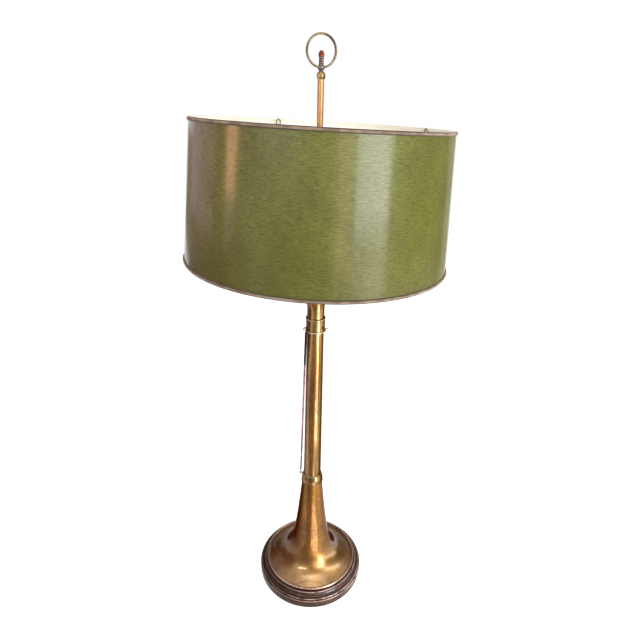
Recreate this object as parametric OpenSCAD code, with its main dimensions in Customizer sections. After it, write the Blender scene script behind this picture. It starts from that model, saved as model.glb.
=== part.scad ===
// Tall lamp made like an upright horn: bell down on a turned wood base, drum shade on a centre rod.
// Millimetres, +Z up, origin at the centre of the underside; the front is -Y.

/* [Base] */
// Diameter of the wood plinth
base_d = 234; // [205:1:280]
// Height of the plinth's straight side
plinth_h = 17; // [14:0.5:24]
// Height of the wood from the felt to the bell's seat
wood_h = 32; // [30:0.5:44]
// Step from the plinth's side in to the fillet above it
shoulder_w = 2.6; // [1.5:0.1:4]
// Height of the small fillet on the shoulder
fillet_h = 1.2; // [0.6:0.1:2]
// Diameter of the bead above the fillet
bead_d = 3.2; // [2:0.1:4]
// Width of the cove, from the bead in to the crown
cove_w = 7; // [3:0.1:8]
// Diameter of the half-round crown around the seat
crown_d = 3.2; // [2:0.1:4]
// Thickness of the felt pad
felt_t = 2; // [1:0.5:4]
// Distance from the plinth's side in to the felt's edge
felt_inset = 5; // [2:0.5:10]

/* [Base weight] */
// Diameter of the recess under the base
recess_d = 150; // [120:1:170]
// Depth of the recess under the base
recess_h = 13; // [12.5:0.5:14]
// Thickness of the iron weight
weight_t = 10; // [8:0.5:12]
// Hole in the middle of the weight
weight_bore = 60; // [50:1:80]
// Width of the cord's slot through the weight
weight_slot_w = 14; // [8:1:20]
// Number of screws that hold the weight
screw_count = 3; // [3:1:3]
// Shank diameter of the weight's screws
screw_d = 4; // [3:0.5:5]
// Head diameter of the weight's screws
screw_head_d = 8; // [7:0.5:10]
// Depth of the screws in the wood
screw_grip = 12; // [6:0.5:14]

/* [Pipe and nut] */
// Outer diameter of the lamp pipe and of the centre rod
pipe_d = 10.3; // [9:0.1:12]
// Bore of the lamp pipe and of the arms
pipe_bore = 7; // [5:0.1:7.5]
// Size of the base nut across its corners
nut_d = 18; // [16:0.5:22]
// Height of the base nut
nut_h = 5; // [4:0.5:6]
// Diameter of the base washer
washer_d = 26; // [22:1:40]
// Thickness of the base washer
washer_t = 1.5; // [1:0.1:2.5]
// Length of pipe below the nut
pipe_tail = 1.5; // [0.5:0.5:2]

/* [Cord inlet] */
// Bore of the cord bushing
inlet_bore = 8; // [6:0.5:9]
// Outer diameter of the bushing's sleeve
bushing_d = 11; // [10:0.5:12]
// Diameter of the bushing's flange
bushing_flange_d = 14; // [13:0.5:15]
// Thickness of the bushing's flange
bushing_flange_t = 1.5; // [1:0.1:2.5]
// Length of the bushing's sleeve behind its flange
bushing_len = 18; // [10:1:22]

/* [Bell] */
// Outer diameter of the rolled rim
rim_d = 202; // [180:1:206]
// Diameter of the rolled edge
rim_wire_d = 5.2; // [4:0.1:7]
// Width of the groove between the rim and the bell
rim_groove_w = 1.4; // [0.8:0.1:3]
// Width of the rim's ledge under the bell
rim_ledge_w = 10; // [6:0.5:14]
// Thickness of the rim's ledge
rim_ledge_t = 1.2; // [0.8:0.1:2]
// Height of the bell from its ledge to the top of its throat
bell_h = 228; // [190:1:250]
// Outer diameter at the top of the throat
throat_d = 41.8; // [40.4:0.1:46]
// Growth of the throat's radius for each millimetre down
bell_taper = 0.08; // [0.05:0.001:0.12]
// Height over which the flare opens
flare_reach = 36; // [20:1:50]
// Sheet thickness of the horn
horn_wall = 1.2; // [0.8:0.1:1.6]

/* [Tube] */
// Outer diameter of the main tube at its foot
tube_foot_d = 37; // [36:0.1:37.8]
// Outer diameter of the main tube at its top
tube_top_d = 32; // [28:0.1:35]
// Length of the main tube
tube_len = 368; // [320:1:420]
// Length of tube inside the bell's throat
tube_lap = 5; // [3:0.5:8]

/* [Lower ferrule] */
// Length of the ferrule over the bell's throat
ferrule_lap = 9; // [6:0.5:12]
// Height of the lower ferrule
low_ferrule_h = 20; // [16:0.5:26]
// Wall of the lower ferrule
low_ferrule_wall = 0.9; // [0.8:0.1:2]
// Diameter of the lower ferrule's edge beads
edge_bead_d = 1.2; // [0.8:0.1:2]

/* [Upper ferrule] */
// Height of the upper ferrule
up_ferrule_h = 28; // [24:0.5:40]
// Wall of the upper ferrule
up_ferrule_wall = 1.7; // [1.2:0.1:2.4]
// Height of each flange
flange_h = 2.4; // [1.6:0.1:3.5]
// Overhang of the upper flange past the wall
top_flange_w = 1; // [0.6:0.1:2]
// Overhang of the lower flange past the wall
low_flange_w = 1.3; // [1:0.1:2.5]
// Diameter of the ball studs
stud_ball_d = 6.4; // [4:0.1:8]
// Gap between the lower flange and the studs' balls
stud_gap = 2.4; // [0.2:0.1:4]
// Diameter of the studs' necks
stud_neck_d = 3; // [2:0.1:3.2]
// Turn of the studs from the sides towards the front
stud_turn = 30; // [0:1:45]

/* [Chain] */
// Diameter of a bead
chain_bead_d = 4.8; // [3:0.1:5]
// Distance from bead to bead
chain_pitch = 6; // [5.4:0.1:8]
// Diameter of the wire between beads and in the eyes
chain_wire_d = 1.6; // [1.2:0.1:1.8]
// Diameter of the solid link at the chain's top
link_d = 4.4; // [2.6:0.1:5]
// Length of the solid link
link_len = 68; // [40:1:90]
// Length of the hook at the chain's foot
hook_len = 46; // [25:1:70]
// Diameter of the hook's solid shank
hook_d = 3.2; // [2:0.1:4]
// Centre diameter of the eyes at the chain's ends
eye_d = 5.2; // [5:0.1:6]

/* [Mouthpiece] */
// Outer diameter of the mouthpiece's neck
neck_d = 32.4; // [28.4:0.1:35]
// Height of the mouthpiece
mouth_h = 86; // [75:1:110]
// Height of its straight neck
neck_h = 28; // [18:0.5:36]
// Outer diameter of its cup
cup_d = 54; // [44:0.5:66]
// Wall of the mouthpiece
mouth_wall = 1.6; // [1.2:0.1:2.2]

/* [Cap and cluster] */
// Overhang of the vase cap past the cup
cap_overhang = 2; // [1:0.5:4]
// Thickness of the vase cap's rim
cap_rim_t = 3; // [2:0.1:4]
// Height of the vase cap's dome
cap_dome_h = 6; // [4:0.5:10]
// Diameter of the cap nut
cap_nut_d = 20; // [16:0.5:24]
// Height of the cap nut
cap_nut_h = 4; // [3:0.5:6]
// Diameter of the cluster body
cluster_d = 34; // [30:0.5:40]
// Height of the cluster body without its cover
cluster_h = 24; // [20:0.5:32]
// Wall of the cluster body
cluster_wall = 2.5; // [2:0.1:3.5]
// Thickness of the cluster's cover
cover_t = 3; // [2:0.1:4]
// Height of the cover's boss around the rod
cover_boss_h = 7; // [5:0.5:10]
// Distance from the lamp's axis to each socket
socket_x = 50; // [48:0.5:60]
// Radius of the arms' bend
arm_bend_r = 14; // [12:0.5:20]

/* [Sockets] */
// Outer diameter of the socket shell
shell_d = 32.6; // [32:0.1:36]
// Sheet thickness of the socket's shell and cap
shell_wall = 0.7; // [0.5:0.05:1]
// Height of the socket shell
shell_h = 42; // [38:0.5:50]
// Height of the socket cap
socket_cap_h = 22; // [20:0.5:28]
// Lap of the shell inside the cap
shell_lap = 5; // [3:0.5:8]
// Thickness of the insulating liner
liner_t = 0.6; // [0.4:0.1:0.8]
// Height of the switch core
core_h = 21; // [18:0.5:24]
// Inner diameter of the screw shell
screw_shell_d = 26.6; // [26.4:0.1:27]
// Sheet thickness of the screw shell
screw_shell_wall = 0.5; // [0.4:0.1:0.8]
// Height of the screw shell
screw_shell_h = 22; // [18:0.5:24]
// Diameter of the key's shaft
key_shaft_d = 3.8; // [3:0.1:4.5]
// Diameter of the key's flat grip
key_grip_d = 13; // [10:0.5:16]
// Thickness of the key's flat grip
key_grip_t = 3.6; // [2.5:0.1:5]

/* [Bulbs] */
// Diameter of the bulb's metal base
bulb_base_d = 26; // [25:0.1:26]
// Height of the bulb's metal base
bulb_base_h = 25; // [22:0.5:28]
// Diameter of the bulb's glass
bulb_d = 60; // [45:1:68]
// Height of the bulb's glass above its base
bulb_glass_h = 82; // [70:1:84]

/* [Centre rod] */
// Length of the centre rod up to the finial
rod_len = 291; // [270:1:330]
// Diameter of the rod's top spigot
spigot_d = 7.2; // [6:0.1:8]
// Height of the rod's top spigot
spigot_h = 7; // [5:0.5:8]

/* [Shade carriage] */
// Distance from the finial down to the shade's top edge
shade_gap = 63; // [55:1:90]
// Drop from the shade's top edge to the spider's seat
hub_drop = 30; // [20:1:36]
// Height of the sliding collar below its flange
collar_h = 18; // [16:0.5:24]
// Outer diameter of the sliding collar
collar_d = 17; // [15:0.5:20]
// Diameter of the collar's flange
collar_flange_d = 28; // [24:0.5:36]
// Thickness of the collar's flange
collar_flange_t = 2; // [1.5:0.1:3]
// Diameter of the collar's neck, on which the spider turns
collar_neck_d = 16; // [14:0.5:18]
// Thickness of the spider's hub
hub_t = 5; // [4:0.1:7]
// Height of the collar's nut
collar_nut_h = 4; // [3:0.5:6]
// Diameter of the thumb screw
thumb_d = 4.8; // [4:0.1:6]
// Diameter of the thumb screw's flat grip
thumb_grip_d = 15; // [12:0.5:20]
// Thickness of the thumb screw's flat grip
thumb_grip_t = 3.2; // [2.4:0.1:4]

/* [Shade] */
// Diameter of the fabric at its top edge
shade_top_d = 420; // [390:1:440]
// Diameter of the fabric at its bottom edge
shade_bottom_d = 454; // [430:1:480]
// Height of the fabric
shade_h = 224; // [190:1:235]
// Thickness of the fabric
fabric_t = 0.8; // [0.5:0.1:1.5]
// Thickness of the lining
lining_t = 0.8; // [0.5:0.1:1.5]
// Height of the gimp trim at each edge
trim_h = 5.5; // [4:0.5:14]
// Thickness of the gimp trim
trim_t = 1.6; // [1:0.1:3]
// Diameter of the shade's wire rings
ring_wire_d = 4; // [3:0.1:5]
// Diameter of the spider's arms
spider_wire_d = 3.4; // [2.6:0.1:4]
// Lean of the shade on its bent spider, down to the right
shade_lean = 1.95; // [0:0.05:3]
// Sideways offset of the shade on its bent spider
shade_shift = 4.6; // [0:0.1:6]
// Angle of the first of the four spider arms, from the front towards the right
arm_angle = 25; // [0:1:60]
// Diameter of the wire loop at each arm's end
loop_wire_d = 1.8; // [1.6:0.1:3]
// Width of a loop, between the middles of its legs
loop_w = 8; // [5.5:0.1:10]
// Height of a loop, from the arm's end to the shade's top edge
loop_h = 16; // [12:0.5:22]

/* [Finial] */
// Diameter of the barrel collar
barrel_d = 13.6; // [12:0.1:18]
// Height of the barrel collar
barrel_h = 10; // [9.5:0.1:14]
// Diameter of the finial's neck
finial_neck_d = 7; // [5:0.1:8]
// Height of the finial's neck
finial_neck_h = 3; // [2:0.1:5]
// Diameter of the boss that holds the ring
boss_d = 10; // [9:0.1:13]
// Height of the boss
boss_h = 7; // [6:0.1:10]
// Diameter of the finial's spindle
spindle_d = 7.8; // [6:0.1:9]
// Height of the finial's spindle
spindle_h = 11; // [8:0.5:14]
// Diameter of the copper tip
tip_d = 9.2; // [8:0.1:12]
// Height of the copper tip
tip_h = 9.4; // [7:0.1:12]
// Outer diameter of the ring
finial_ring_d = 49; // [44:0.5:60]
// Thickness of the ring's band
band_t = 3; // [2:0.1:3.6]
// Width of the ring's band
band_w = 5.4; // [3.6:0.1:6]
// Turn of the ring away from the front
ring_turn = 15; // [0:1:90]

/* [Fits] */
// Radial clearance of a running fit
run_fit = 0.06; // [0.02:0.01:0.09]
// Clearance between fixed pieces
fit = 0.1; // [0.05:0.01:0.2]

/* [Hidden] */
$fn = 72;
left = -1;
right = 1;
cut = 1;

// Base, from the floor up
base_r = base_d / 2;
recess_z = felt_t + recess_h;
plinth_z = felt_t + plinth_h;
seat_z = felt_t + wood_h;
fillet_r = base_r - shoulder_w;
bead_r = bead_d / 2;
bead_z = plinth_z + fillet_h + bead_r;
bead_c = fillet_r - bead_r - bead_r / 2;
cove_foot = [bead_c - bead_r / 3, bead_z + bead_r];
crown_r = crown_d / 2;
crown_c = cove_foot[0] - cove_w - crown_r / 2;
cove_top = [crown_c + crown_r / 2, seat_z - crown_d];
pipe_hole_d = pipe_d + 2 * fit;
washer_z = recess_z - washer_t;
nut_z = washer_z - nut_h;
pipe_z = nut_z - pipe_tail;
weight_z = recess_z - weight_t;
weight_d = recess_d - 4 * fit;
screw_circle_r = (weight_d + weight_bore) / 4;
screw_cone_h = (screw_head_d - screw_d) / 2;
inlet_z = felt_t + plinth_h / 2;
flange_seat_y = sqrt(pow(base_r, 2) - pow(bushing_flange_d / 2 + fit, 2)) - bushing_flange_t;

// Horn, from the seat up
rim_c = rim_d / 2 - rim_wire_d / 2;
bell_foot_r = rim_d / 2 - rim_wire_d - rim_groove_w;
bell_z = seat_z + rim_ledge_t;
bell_top = bell_z + bell_h;
throat_r = throat_d / 2;
flare_w = bell_foot_r - throat_r - bell_taper * bell_h;
tube_z = bell_top - tube_lap;
tube_top = tube_z + tube_len;
low_ferrule_z = bell_top - ferrule_lap;
low_ferrule_r = bell_r(bell_h - ferrule_lap) + 2 * fit + low_ferrule_wall;
low_ferrule_top = low_ferrule_z + low_ferrule_h;
up_ferrule_z = tube_top - up_ferrule_h / 2;
up_ferrule_top = up_ferrule_z + up_ferrule_h;
up_bore_r = max(tube_r(up_ferrule_z), neck_d / 2) + fit;
up_ferrule_r = up_bore_r + up_ferrule_wall;
mouth_top = tube_top + mouth_h;

// Chain, on a straight line from the left stud to the lower ferrule's eye
wire_r = chain_wire_d / 2;
stud_z = up_ferrule_z + flange_h + stud_gap + stud_ball_d / 2;
eye_r = eye_d / 2;
eye_in_r = eye_r - wire_r;
stud_end = up_ferrule_r + low_flange_w + chain_wire_d + 2 * fit;
head_r = stud_end - fit - wire_r;
stud_ball_x = stud_end + stud_ball_d * 0.4;
chain_head = [
    -head_r * cos(stud_turn),
    -head_r * sin(stud_turn),
    stud_z + stud_neck_d / 2 + fit - eye_in_r
];
eye_x = low_ferrule_r + eye_r - wire_r / 2;
eye_z = low_ferrule_top - eye_r;
chain_foot = [-eye_x, 0, eye_z + eye_in_r - wire_r - fit];
chain_dir = (chain_foot - chain_head) / norm(chain_foot - chain_head);
chain_span = norm(chain_foot - chain_head);
link_start = chain_head[2] - up_ferrule_z + 4 * fit;
link_end = link_start + link_len;
hook_start = chain_span - hook_len;
bead_count = floor((hook_start - link_end - 2 * fit) / chain_pitch);

// Cap and cluster
cap_z = mouth_top;
cap_top = cap_z + cap_rim_t + cap_dome_h;
cluster_z = cap_top + cap_nut_h;
cluster_top = cluster_z + cluster_h;
cluster_r = cluster_d / 2;
pipe_top = cluster_z + cluster_wall;
arm_z = cluster_z + cluster_h / 2;
arm_start = cluster_r - cluster_wall;
rod_z = cluster_top + cover_t / 2;
rod_top = rod_z + rod_len;
rod_r = pipe_d / 2;

// Sockets, from the arm's end up
socket_z = arm_z + arm_bend_r;
socket_hub_r = pipe_d / 2 + fit + 2 * shell_wall;
arm_top = socket_z + socket_cap_h / 3;
cap_r = shell_d / 2 + fit + shell_wall;
cap_edge_z = socket_z + socket_cap_h;
shell_z = cap_edge_z - shell_lap;
shell_in_r = shell_d / 2 - shell_wall;
liner_r = shell_in_r - fit;
core_r = liner_r - liner_t - fit;
core_z = shell_z;
core_top = core_z + core_h;
key_z = cap_edge_z + key_shaft_d / 2 + shell_lap;
key_neck = shell_d / 2 + key_grip_t;
bulb_z = core_top + screw_shell_wall + fit;
glass_z = bulb_z + bulb_base_h;

// Shade carriage and shade
shade_z = rod_top - shade_gap;
hub_z = shade_z - hub_drop;
collar_z = hub_z - collar_flange_t - collar_h;
collar_bore_r = rod_r + run_fit;
hub_bore_r = collar_neck_d / 2 + run_fit;
hub_play = fit;
neck_top = hub_z + hub_play + hub_t + fit + collar_nut_h;
thumb_z = collar_z + collar_h / 2;
thumb_boss_y = collar_d / 2 + thumb_d / 2;
thumb_neck_y = thumb_boss_y + thumb_d;
wall_lean = (shade_bottom_d - shade_top_d) / 2 / shade_h;
ring_r = ring_wire_d / 2;
ring_in = fabric_t + lining_t + 2 * fit + ring_r;
ring_top_z = -ring_r - fit;
top_ring_c = wall_r(ring_top_z) - ring_in;
bottom_ring_z = -shade_h + ring_r + fit;
bottom_ring_c = wall_r(bottom_ring_z) - ring_in;
hub_r = collar_flange_d / 2;
arm_seat_z = hub_z + hub_play + hub_t / 2;
loop_c = top_ring_c - ring_r - fit - loop_wire_d / 2;
loop_bend_z = -(loop_w + loop_wire_d) / 2;
leg_d = 1.15 * loop_wire_d;
loop_foot_d = 1.2 * spider_wire_d;

// Finial
barrel_z = rod_top;
boss_z = barrel_z + barrel_h + finial_neck_h;
spindle_z = boss_z + boss_h;
tip_z = spindle_z + spindle_h;
finial_ring_z = boss_z + boss_h / 2 + finial_ring_d / 2 - band_t / 2;

// Share of the flare that is left x above the bell's foot
function flare_share(x) = pow(flare_reach / (x + flare_reach), 2);
// Outer radius of the bell, x above its foot
function bell_r(x) =
    throat_r + bell_taper * (bell_h - x) + flare_w * (flare_share(x) - flare_share(bell_h) * x / bell_h);
// Change of the bell's radius for each millimetre up
function bell_slope(x) =
    -bell_taper - flare_w * (2 * flare_share(x) / (x + flare_reach) + flare_share(bell_h) / bell_h);
// Point on the bell's inner face, square below the outer point at x
function bell_inner(x) =
    let (s = bell_slope(x), k = horn_wall / sqrt(1 + s * s))
    [bell_r(x) - k, x + s * k];
// Outer radius of the main tube at height z
function tube_r(z) =
    (tube_foot_d + (tube_top_d - tube_foot_d) * (z - tube_z) / tube_len) / 2;
// Outer radius of the shade's fabric, z below its top edge
function wall_r(z) = shade_top_d / 2 - z * wall_lean;
// Points on an arc about c, from angle a to angle b
function arc(c, r, a, b, n = 8) =
    [for (i = [0:n]) c + r * [cos(a + (b - a) * i / n), sin(a + (b - a) * i / n)]];
// Points on a curve from p to q that is pulled towards m
function curve(p, m, q, n = 8) =
    [for (i = [0:n]) let (t = i / n) (1 - t) * (1 - t) * p + 2 * t * (1 - t) * m + t * t * q];
// A point of the leaning shade, from the shade's own frame
function leaning(p) = [
    shade_shift + p[0] * cos(shade_lean) + p[2] * sin(shade_lean),
    p[1],
    shade_z - p[0] * sin(shade_lean) + p[2] * cos(shade_lean)
];
// A point on the chain, d below its head
function on_chain(d) = chain_head + d * chain_dir;

// A round bar from a to b
module bar(a, b, d) {
    v = b - a;
    translate(a)
        rotate([0, acos(v[2] / norm(v)), atan2(v[1], v[0])])
            cylinder(h = norm(v), d = d);
}

// A round bar along Y, from y0 to y1, at height z
module bar_y(y0, y1, z, d) {
    translate([0, y0, z])
        rotate([-90, 0, 0])
            cylinder(h = y1 - y0, d = d);
}

// A ring with a round section
module wire_ring(centre_r, wire_d) {
    rotate_extrude()
        translate([centre_r, 0])
            circle(d = wire_d);
}

// A ring with a square section
module sleeve(z, h, outer_r, bore_r) {
    difference() {
        translate([0, 0, z])
            cylinder(h = h, r = outer_r);
        translate([0, 0, z - cut])
            cylinder(h = h + 2 * cut, r = bore_r);
    }
}

// A solid turned about Z from [radius, height] points
module turned(points) {
    rotate_extrude()
        polygon(points);
}

// The left or the right of a pair
module on_side(side) {
    mirror([side == left ? 1 : 0, 0, 0])
        children();
}

// The shade's own frame: its top edge's centre, leaning to the right
module on_shade() {
    translate([shade_shift, 0, shade_z])
        rotate([0, shade_lean, 0])
            children();
}

module felt_pad() {
    color([0.16, 0.18, 0.14])
        cylinder(h = felt_t, r = base_r - felt_inset);
}

// Places of the weight's screws, clear of the cord's slot at the back
module at_screws() {
    for (i = [0:screw_count - 1])
        rotate([0, 0, 30 + i * 360 / screw_count])
            translate([screw_circle_r, 0, weight_z])
                children();
}

module screw_shape(gap) {
    cylinder(h = screw_cone_h, d1 = screw_head_d + 2 * gap, d2 = screw_d + 2 * gap);
    cylinder(h = weight_t + screw_grip + gap, d = screw_d + 2 * gap);
}

module wood_base() {
    color([0.27, 0.15, 0.11])
        difference() {
            turned(concat(
                [[0, felt_t], [base_r, felt_t]],
                arc([base_r - fillet_h, plinth_z - fillet_h], fillet_h, 0, 90, 4),
                [[fillet_r, plinth_z], [fillet_r, plinth_z + fillet_h]],
                arc([bead_c, bead_z], bead_r, -90, 90),
                curve(cove_foot, [cove_top[0], cove_foot[1]], cove_top),
                arc([crown_c, seat_z - crown_r], crown_r, -90, 90),
                [[0, seat_z]]
            ));
            translate([0, 0, felt_t - cut])
                cylinder(h = recess_h + cut, d = recess_d);
            translate([0, 0, felt_t])
                cylinder(h = wood_h + cut, d = pipe_hole_d);
            at_screws()
                screw_shape(fit);
            bar_y(0, base_r + cut, inlet_z, bushing_d + 2 * fit);
            bar_y(flange_seat_y, base_r + cut, inlet_z, bushing_flange_d + 2 * fit);
        }
}

module base_weight() {
    color([0.22, 0.22, 0.23])
        difference() {
            sleeve(weight_z, weight_t, weight_d / 2, weight_bore / 2);
            at_screws()
                screw_shape(fit);
            translate([-weight_slot_w / 2, 0, weight_z - cut])
                cube([weight_slot_w, weight_d, weight_t + 2 * cut]);
        }
}

module weight_screws() {
    color([0.55, 0.55, 0.55])
        at_screws()
            screw_shape(0);
}

module base_washer() {
    color([0.6, 0.6, 0.6])
        sleeve(washer_z, washer_t, washer_d / 2, pipe_hole_d / 2);
}

module base_nut() {
    color([0.65, 0.55, 0.3])
        difference() {
            translate([0, 0, nut_z])
                cylinder(h = nut_h, d = nut_d, $fn = 6);
            translate([0, 0, nut_z - cut])
                cylinder(h = nut_h + 2 * cut, d = pipe_hole_d);
        }
}

module cord_bushing() {
    color([0.1, 0.1, 0.1])
        difference() {
            union() {
                bar_y(flange_seat_y - bushing_len, flange_seat_y, inlet_z, bushing_d);
                bar_y(flange_seat_y, flange_seat_y + bushing_flange_t, inlet_z, bushing_flange_d);
            }
            bar_y(0, base_r + cut, inlet_z, inlet_bore);
        }
}

module bell_rim() {
    color([0.75, 0.58, 0.48])
        rotate_extrude()
            union() {
                translate([rim_c, seat_z + rim_wire_d / 2])
                    circle(d = rim_wire_d);
                translate([bell_foot_r - rim_ledge_w, seat_z])
                    square([rim_c - bell_foot_r + rim_ledge_w, rim_ledge_t]);
            }
}

module bell() {
    steps = 26;
    // Heights that crowd towards the foot, where the flare opens
    heights = [for (i = [0:steps]) bell_h * pow(i / steps, 2)];
    inner = [for (i = [steps:-1:0]) let (p = bell_inner(heights[i])) if (p[1] > horn_wall / 4) p];
    outer = [for (x = heights) [bell_r(x), x]];
    mouth = inner[len(inner) - 1];
    color([0.72, 0.5, 0.22])
        translate([0, 0, bell_z])
            turned(concat(
                outer,
                [[throat_r - horn_wall, bell_h]],
                [for (i = [1:len(inner) - 1]) inner[i]],
                [[mouth[0] + horn_wall, 0]]
            ));
}

// A band over the bell's throat that narrows to the tube, with beaded edges and an eye for the chain
module lower_ferrule() {
    edge_r = edge_bead_d / 2;
    top_r = tube_r(low_ferrule_top) + fit + low_ferrule_wall;
    color([0.7, 0.52, 0.28])
        union() {
            difference() {
                turned(concat(
                    [[tube_top_d / 2, low_ferrule_z]],
                    arc([low_ferrule_r, low_ferrule_z + edge_r], edge_r, -90, 90),
                    [[low_ferrule_r, bell_top + low_ferrule_wall]],
                    arc([top_r, low_ferrule_top - edge_r], edge_r, -90, 90),
                    [[tube_top_d / 2, low_ferrule_top]]
                ));
                translate([0, 0, bell_z])
                    turned([
                        [0, bell_h - ferrule_lap - cut],
                        [bell_r(bell_h - ferrule_lap - cut) + 2 * fit, bell_h - ferrule_lap - cut],
                        [throat_r + 2 * fit, bell_h + fit],
                        [0, bell_h + fit]
                    ]);
                turned([
                    [0, bell_top - cut],
                    [tube_r(bell_top - cut) + fit, bell_top - cut],
                    [tube_r(low_ferrule_top + cut) + fit, low_ferrule_top + cut],
                    [0, low_ferrule_top + cut]
                ]);
            }
            bar(
                [-tube_r(eye_z) - fit - low_ferrule_wall / 2, 0, eye_z],
                [eye_r - eye_x, 0, eye_z],
                1.25 * chain_wire_d
            );
            translate([-eye_x, 0, eye_z])
                rotate([90, 0, 0])
                    wire_ring(eye_r, chain_wire_d);
        }
}

module main_tube() {
    color([0.66, 0.47, 0.24])
        turned([
            [tube_r(tube_z), tube_z],
            [tube_r(tube_top), tube_top],
            [tube_r(tube_top) - horn_wall, tube_top],
            [tube_r(tube_z) - horn_wall, tube_z]
        ]);
}

// A ball on a neck, out along +X from the ferrule's wall
module stud() {
    translate([up_bore_r + up_ferrule_wall / 2, 0, stud_z])
        rotate([0, 90, 0])
            cylinder(h = stud_ball_x - up_bore_r - up_ferrule_wall / 2, d = stud_neck_d);
    translate([stud_ball_x, 0, stud_z])
        sphere(d = stud_ball_d);
}

module upper_ferrule() {
    low_r = up_ferrule_r + low_flange_w - flange_h / 2;
    top_r = up_ferrule_r + top_flange_w - flange_h / 2;
    color([0.72, 0.54, 0.28])
        union() {
            turned(concat(
                [[up_bore_r, up_ferrule_z]],
                arc([low_r, up_ferrule_z + flange_h / 2], flange_h / 2, -90, 90),
                [[up_ferrule_r, up_ferrule_z + flange_h]],
                [[up_ferrule_r, up_ferrule_top - flange_h]],
                arc([top_r, up_ferrule_top - flange_h / 2], flange_h / 2, -90, 90),
                [[up_bore_r, up_ferrule_top]]
            ));
            for (side = [left, right])
                on_side(side)
                    rotate([0, 0, -stud_turn])
                        stud();
        }
}

module mouthpiece() {
    neck_r = neck_d / 2;
    cup_r = cup_d / 2;
    flare_h = mouth_h - neck_h;
    foot = [neck_r, neck_h];
    pull = [neck_r, neck_h + flare_h * 0.45];
    lip = [cup_r, neck_h + flare_h * 0.7];
    inward = [mouth_wall, 0];
    flare = curve(foot, pull, lip, 10);
    color([0.7, 0.52, 0.26])
        translate([0, 0, tube_top])
            turned(concat(
                [[neck_r, 0]],
                flare,
                [[cup_r, mouth_h], [cup_r - mouth_wall, mouth_h]],
                [for (i = [len(flare) - 1:-1:0]) flare[i] - inward],
                [[neck_r - mouth_wall, 0]]
            ));
}

module lamp_pipe() {
    color([0.6, 0.6, 0.58])
        sleeve(pipe_z, pipe_top - pipe_z, pipe_d / 2, pipe_bore / 2);
}

// An eye round the stud's neck, then a solid link that starts below the ferrule's flange
module chain_link() {
    color([0.2, 0.14, 0.1])
        union() {
            translate(chain_head)
                rotate([0, 90, stud_turn])
                    wire_ring(eye_r, chain_wire_d);
            bar(on_chain(eye_r), on_chain(link_start + link_d), chain_wire_d);
            bar(on_chain(link_start), on_chain(link_end), link_d);
        }
}

module bead_chain() {
    first = link_end + fit;
    color([0.36, 0.24, 0.16])
        union() {
            bar(on_chain(first), on_chain(hook_start - fit), chain_wire_d);
            for (i = [0:bead_count - 1])
                translate(on_chain(first + (i + 0.5) * chain_pitch))
                    sphere(d = chain_bead_d, $fn = 24);
        }
}

module chain_hook() {
    color([0.2, 0.15, 0.11])
        union() {
            translate(chain_foot + [0, 0, eye_r])
                rotate([0, 90, 0])
                    wire_ring(eye_r, chain_wire_d);
            bar(on_chain(hook_start), on_chain(chain_span - eye_d), chain_wire_d);
            bar(on_chain(hook_start), on_chain(chain_span - eye_d - hook_d), hook_d);
        }
}

module vase_cap() {
    rim_r = cup_d / 2 + cap_overhang;
    spigot_r = cup_d / 2 - mouth_wall - fit;
    dome_r = cap_nut_d / 2;
    dome_z = cap_z + cap_rim_t;
    color([0.72, 0.54, 0.28])
        difference() {
            turned(concat(
                [[0, cap_z - cap_rim_t], [spigot_r, cap_z - cap_rim_t], [spigot_r, cap_z]],
                arc([rim_r - cap_rim_t / 2, cap_z + cap_rim_t / 2], cap_rim_t / 2, -90, 90),
                curve([rim_r - cap_rim_t, dome_z], [dome_r, dome_z], [dome_r, cap_top]),
                [[0, cap_top]]
            ));
            translate([0, 0, cap_z - cap_rim_t - cut])
                cylinder(h = cap_top, d = pipe_hole_d);
        }
}

module cap_nut() {
    color([0.75, 0.58, 0.3])
        sleeve(cap_top, cap_nut_h, cap_nut_d / 2, pipe_hole_d / 2);
}

module cluster_body() {
    color([0.7, 0.52, 0.26])
        difference() {
            translate([0, 0, cluster_z])
                cylinder(h = cluster_h, d = cluster_d);
            translate([0, 0, cluster_z + cluster_wall])
                cylinder(h = cluster_h, r = arm_start);
            translate([0, 0, cluster_z - cut])
                cylinder(h = cluster_h, d = pipe_hole_d);
            translate([-cluster_d, 0, arm_z])
                rotate([0, 90, 0])
                    cylinder(h = 2 * cluster_d, d = pipe_hole_d);
        }
}

module cluster_cover() {
    boss_r = pipe_d / 2 + cluster_wall;
    color([0.72, 0.54, 0.28])
        difference() {
            turned(concat(
                [[0, cluster_top]],
                arc([cluster_r, cluster_top + cover_t / 2], cover_t / 2, -90, 90),
                [[boss_r, cluster_top + cover_t], [boss_r, cluster_top + cover_t + cover_boss_h]],
                [[0, cluster_top + cover_t + cover_boss_h]]
            ));
            translate([0, 0, rod_z])
                cylinder(h = rod_len, d = pipe_hole_d);
            translate([0, 0, cluster_top - cut])
                cylinder(h = cover_t, d = pipe_bore);
        }
}

// A bent arm, drawn solid at the given diameter
module arm_shape(d, overrun) {
    translate([arm_start - overrun, 0, arm_z])
        rotate([0, 90, 0])
            cylinder(h = socket_x - arm_bend_r - arm_start + overrun, d = d);
    translate([socket_x - arm_bend_r, 0, arm_z + arm_bend_r])
        rotate([90, 0, 0])
            rotate([0, 0, -90])
                rotate_extrude(angle = 90)
                    translate([arm_bend_r, 0])
                        circle(d = d);
    translate([socket_x, 0, socket_z])
        cylinder(h = arm_top - socket_z + overrun, d = d);
}

module arm(side) {
    color([0.68, 0.5, 0.25])
        on_side(side)
            difference() {
                arm_shape(pipe_d, 0);
                arm_shape(pipe_bore, cut);
            }
}

// The socket's own axis
module at_socket(side) {
    on_side(side)
        translate([socket_x, 0, 0])
            children();
}

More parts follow.
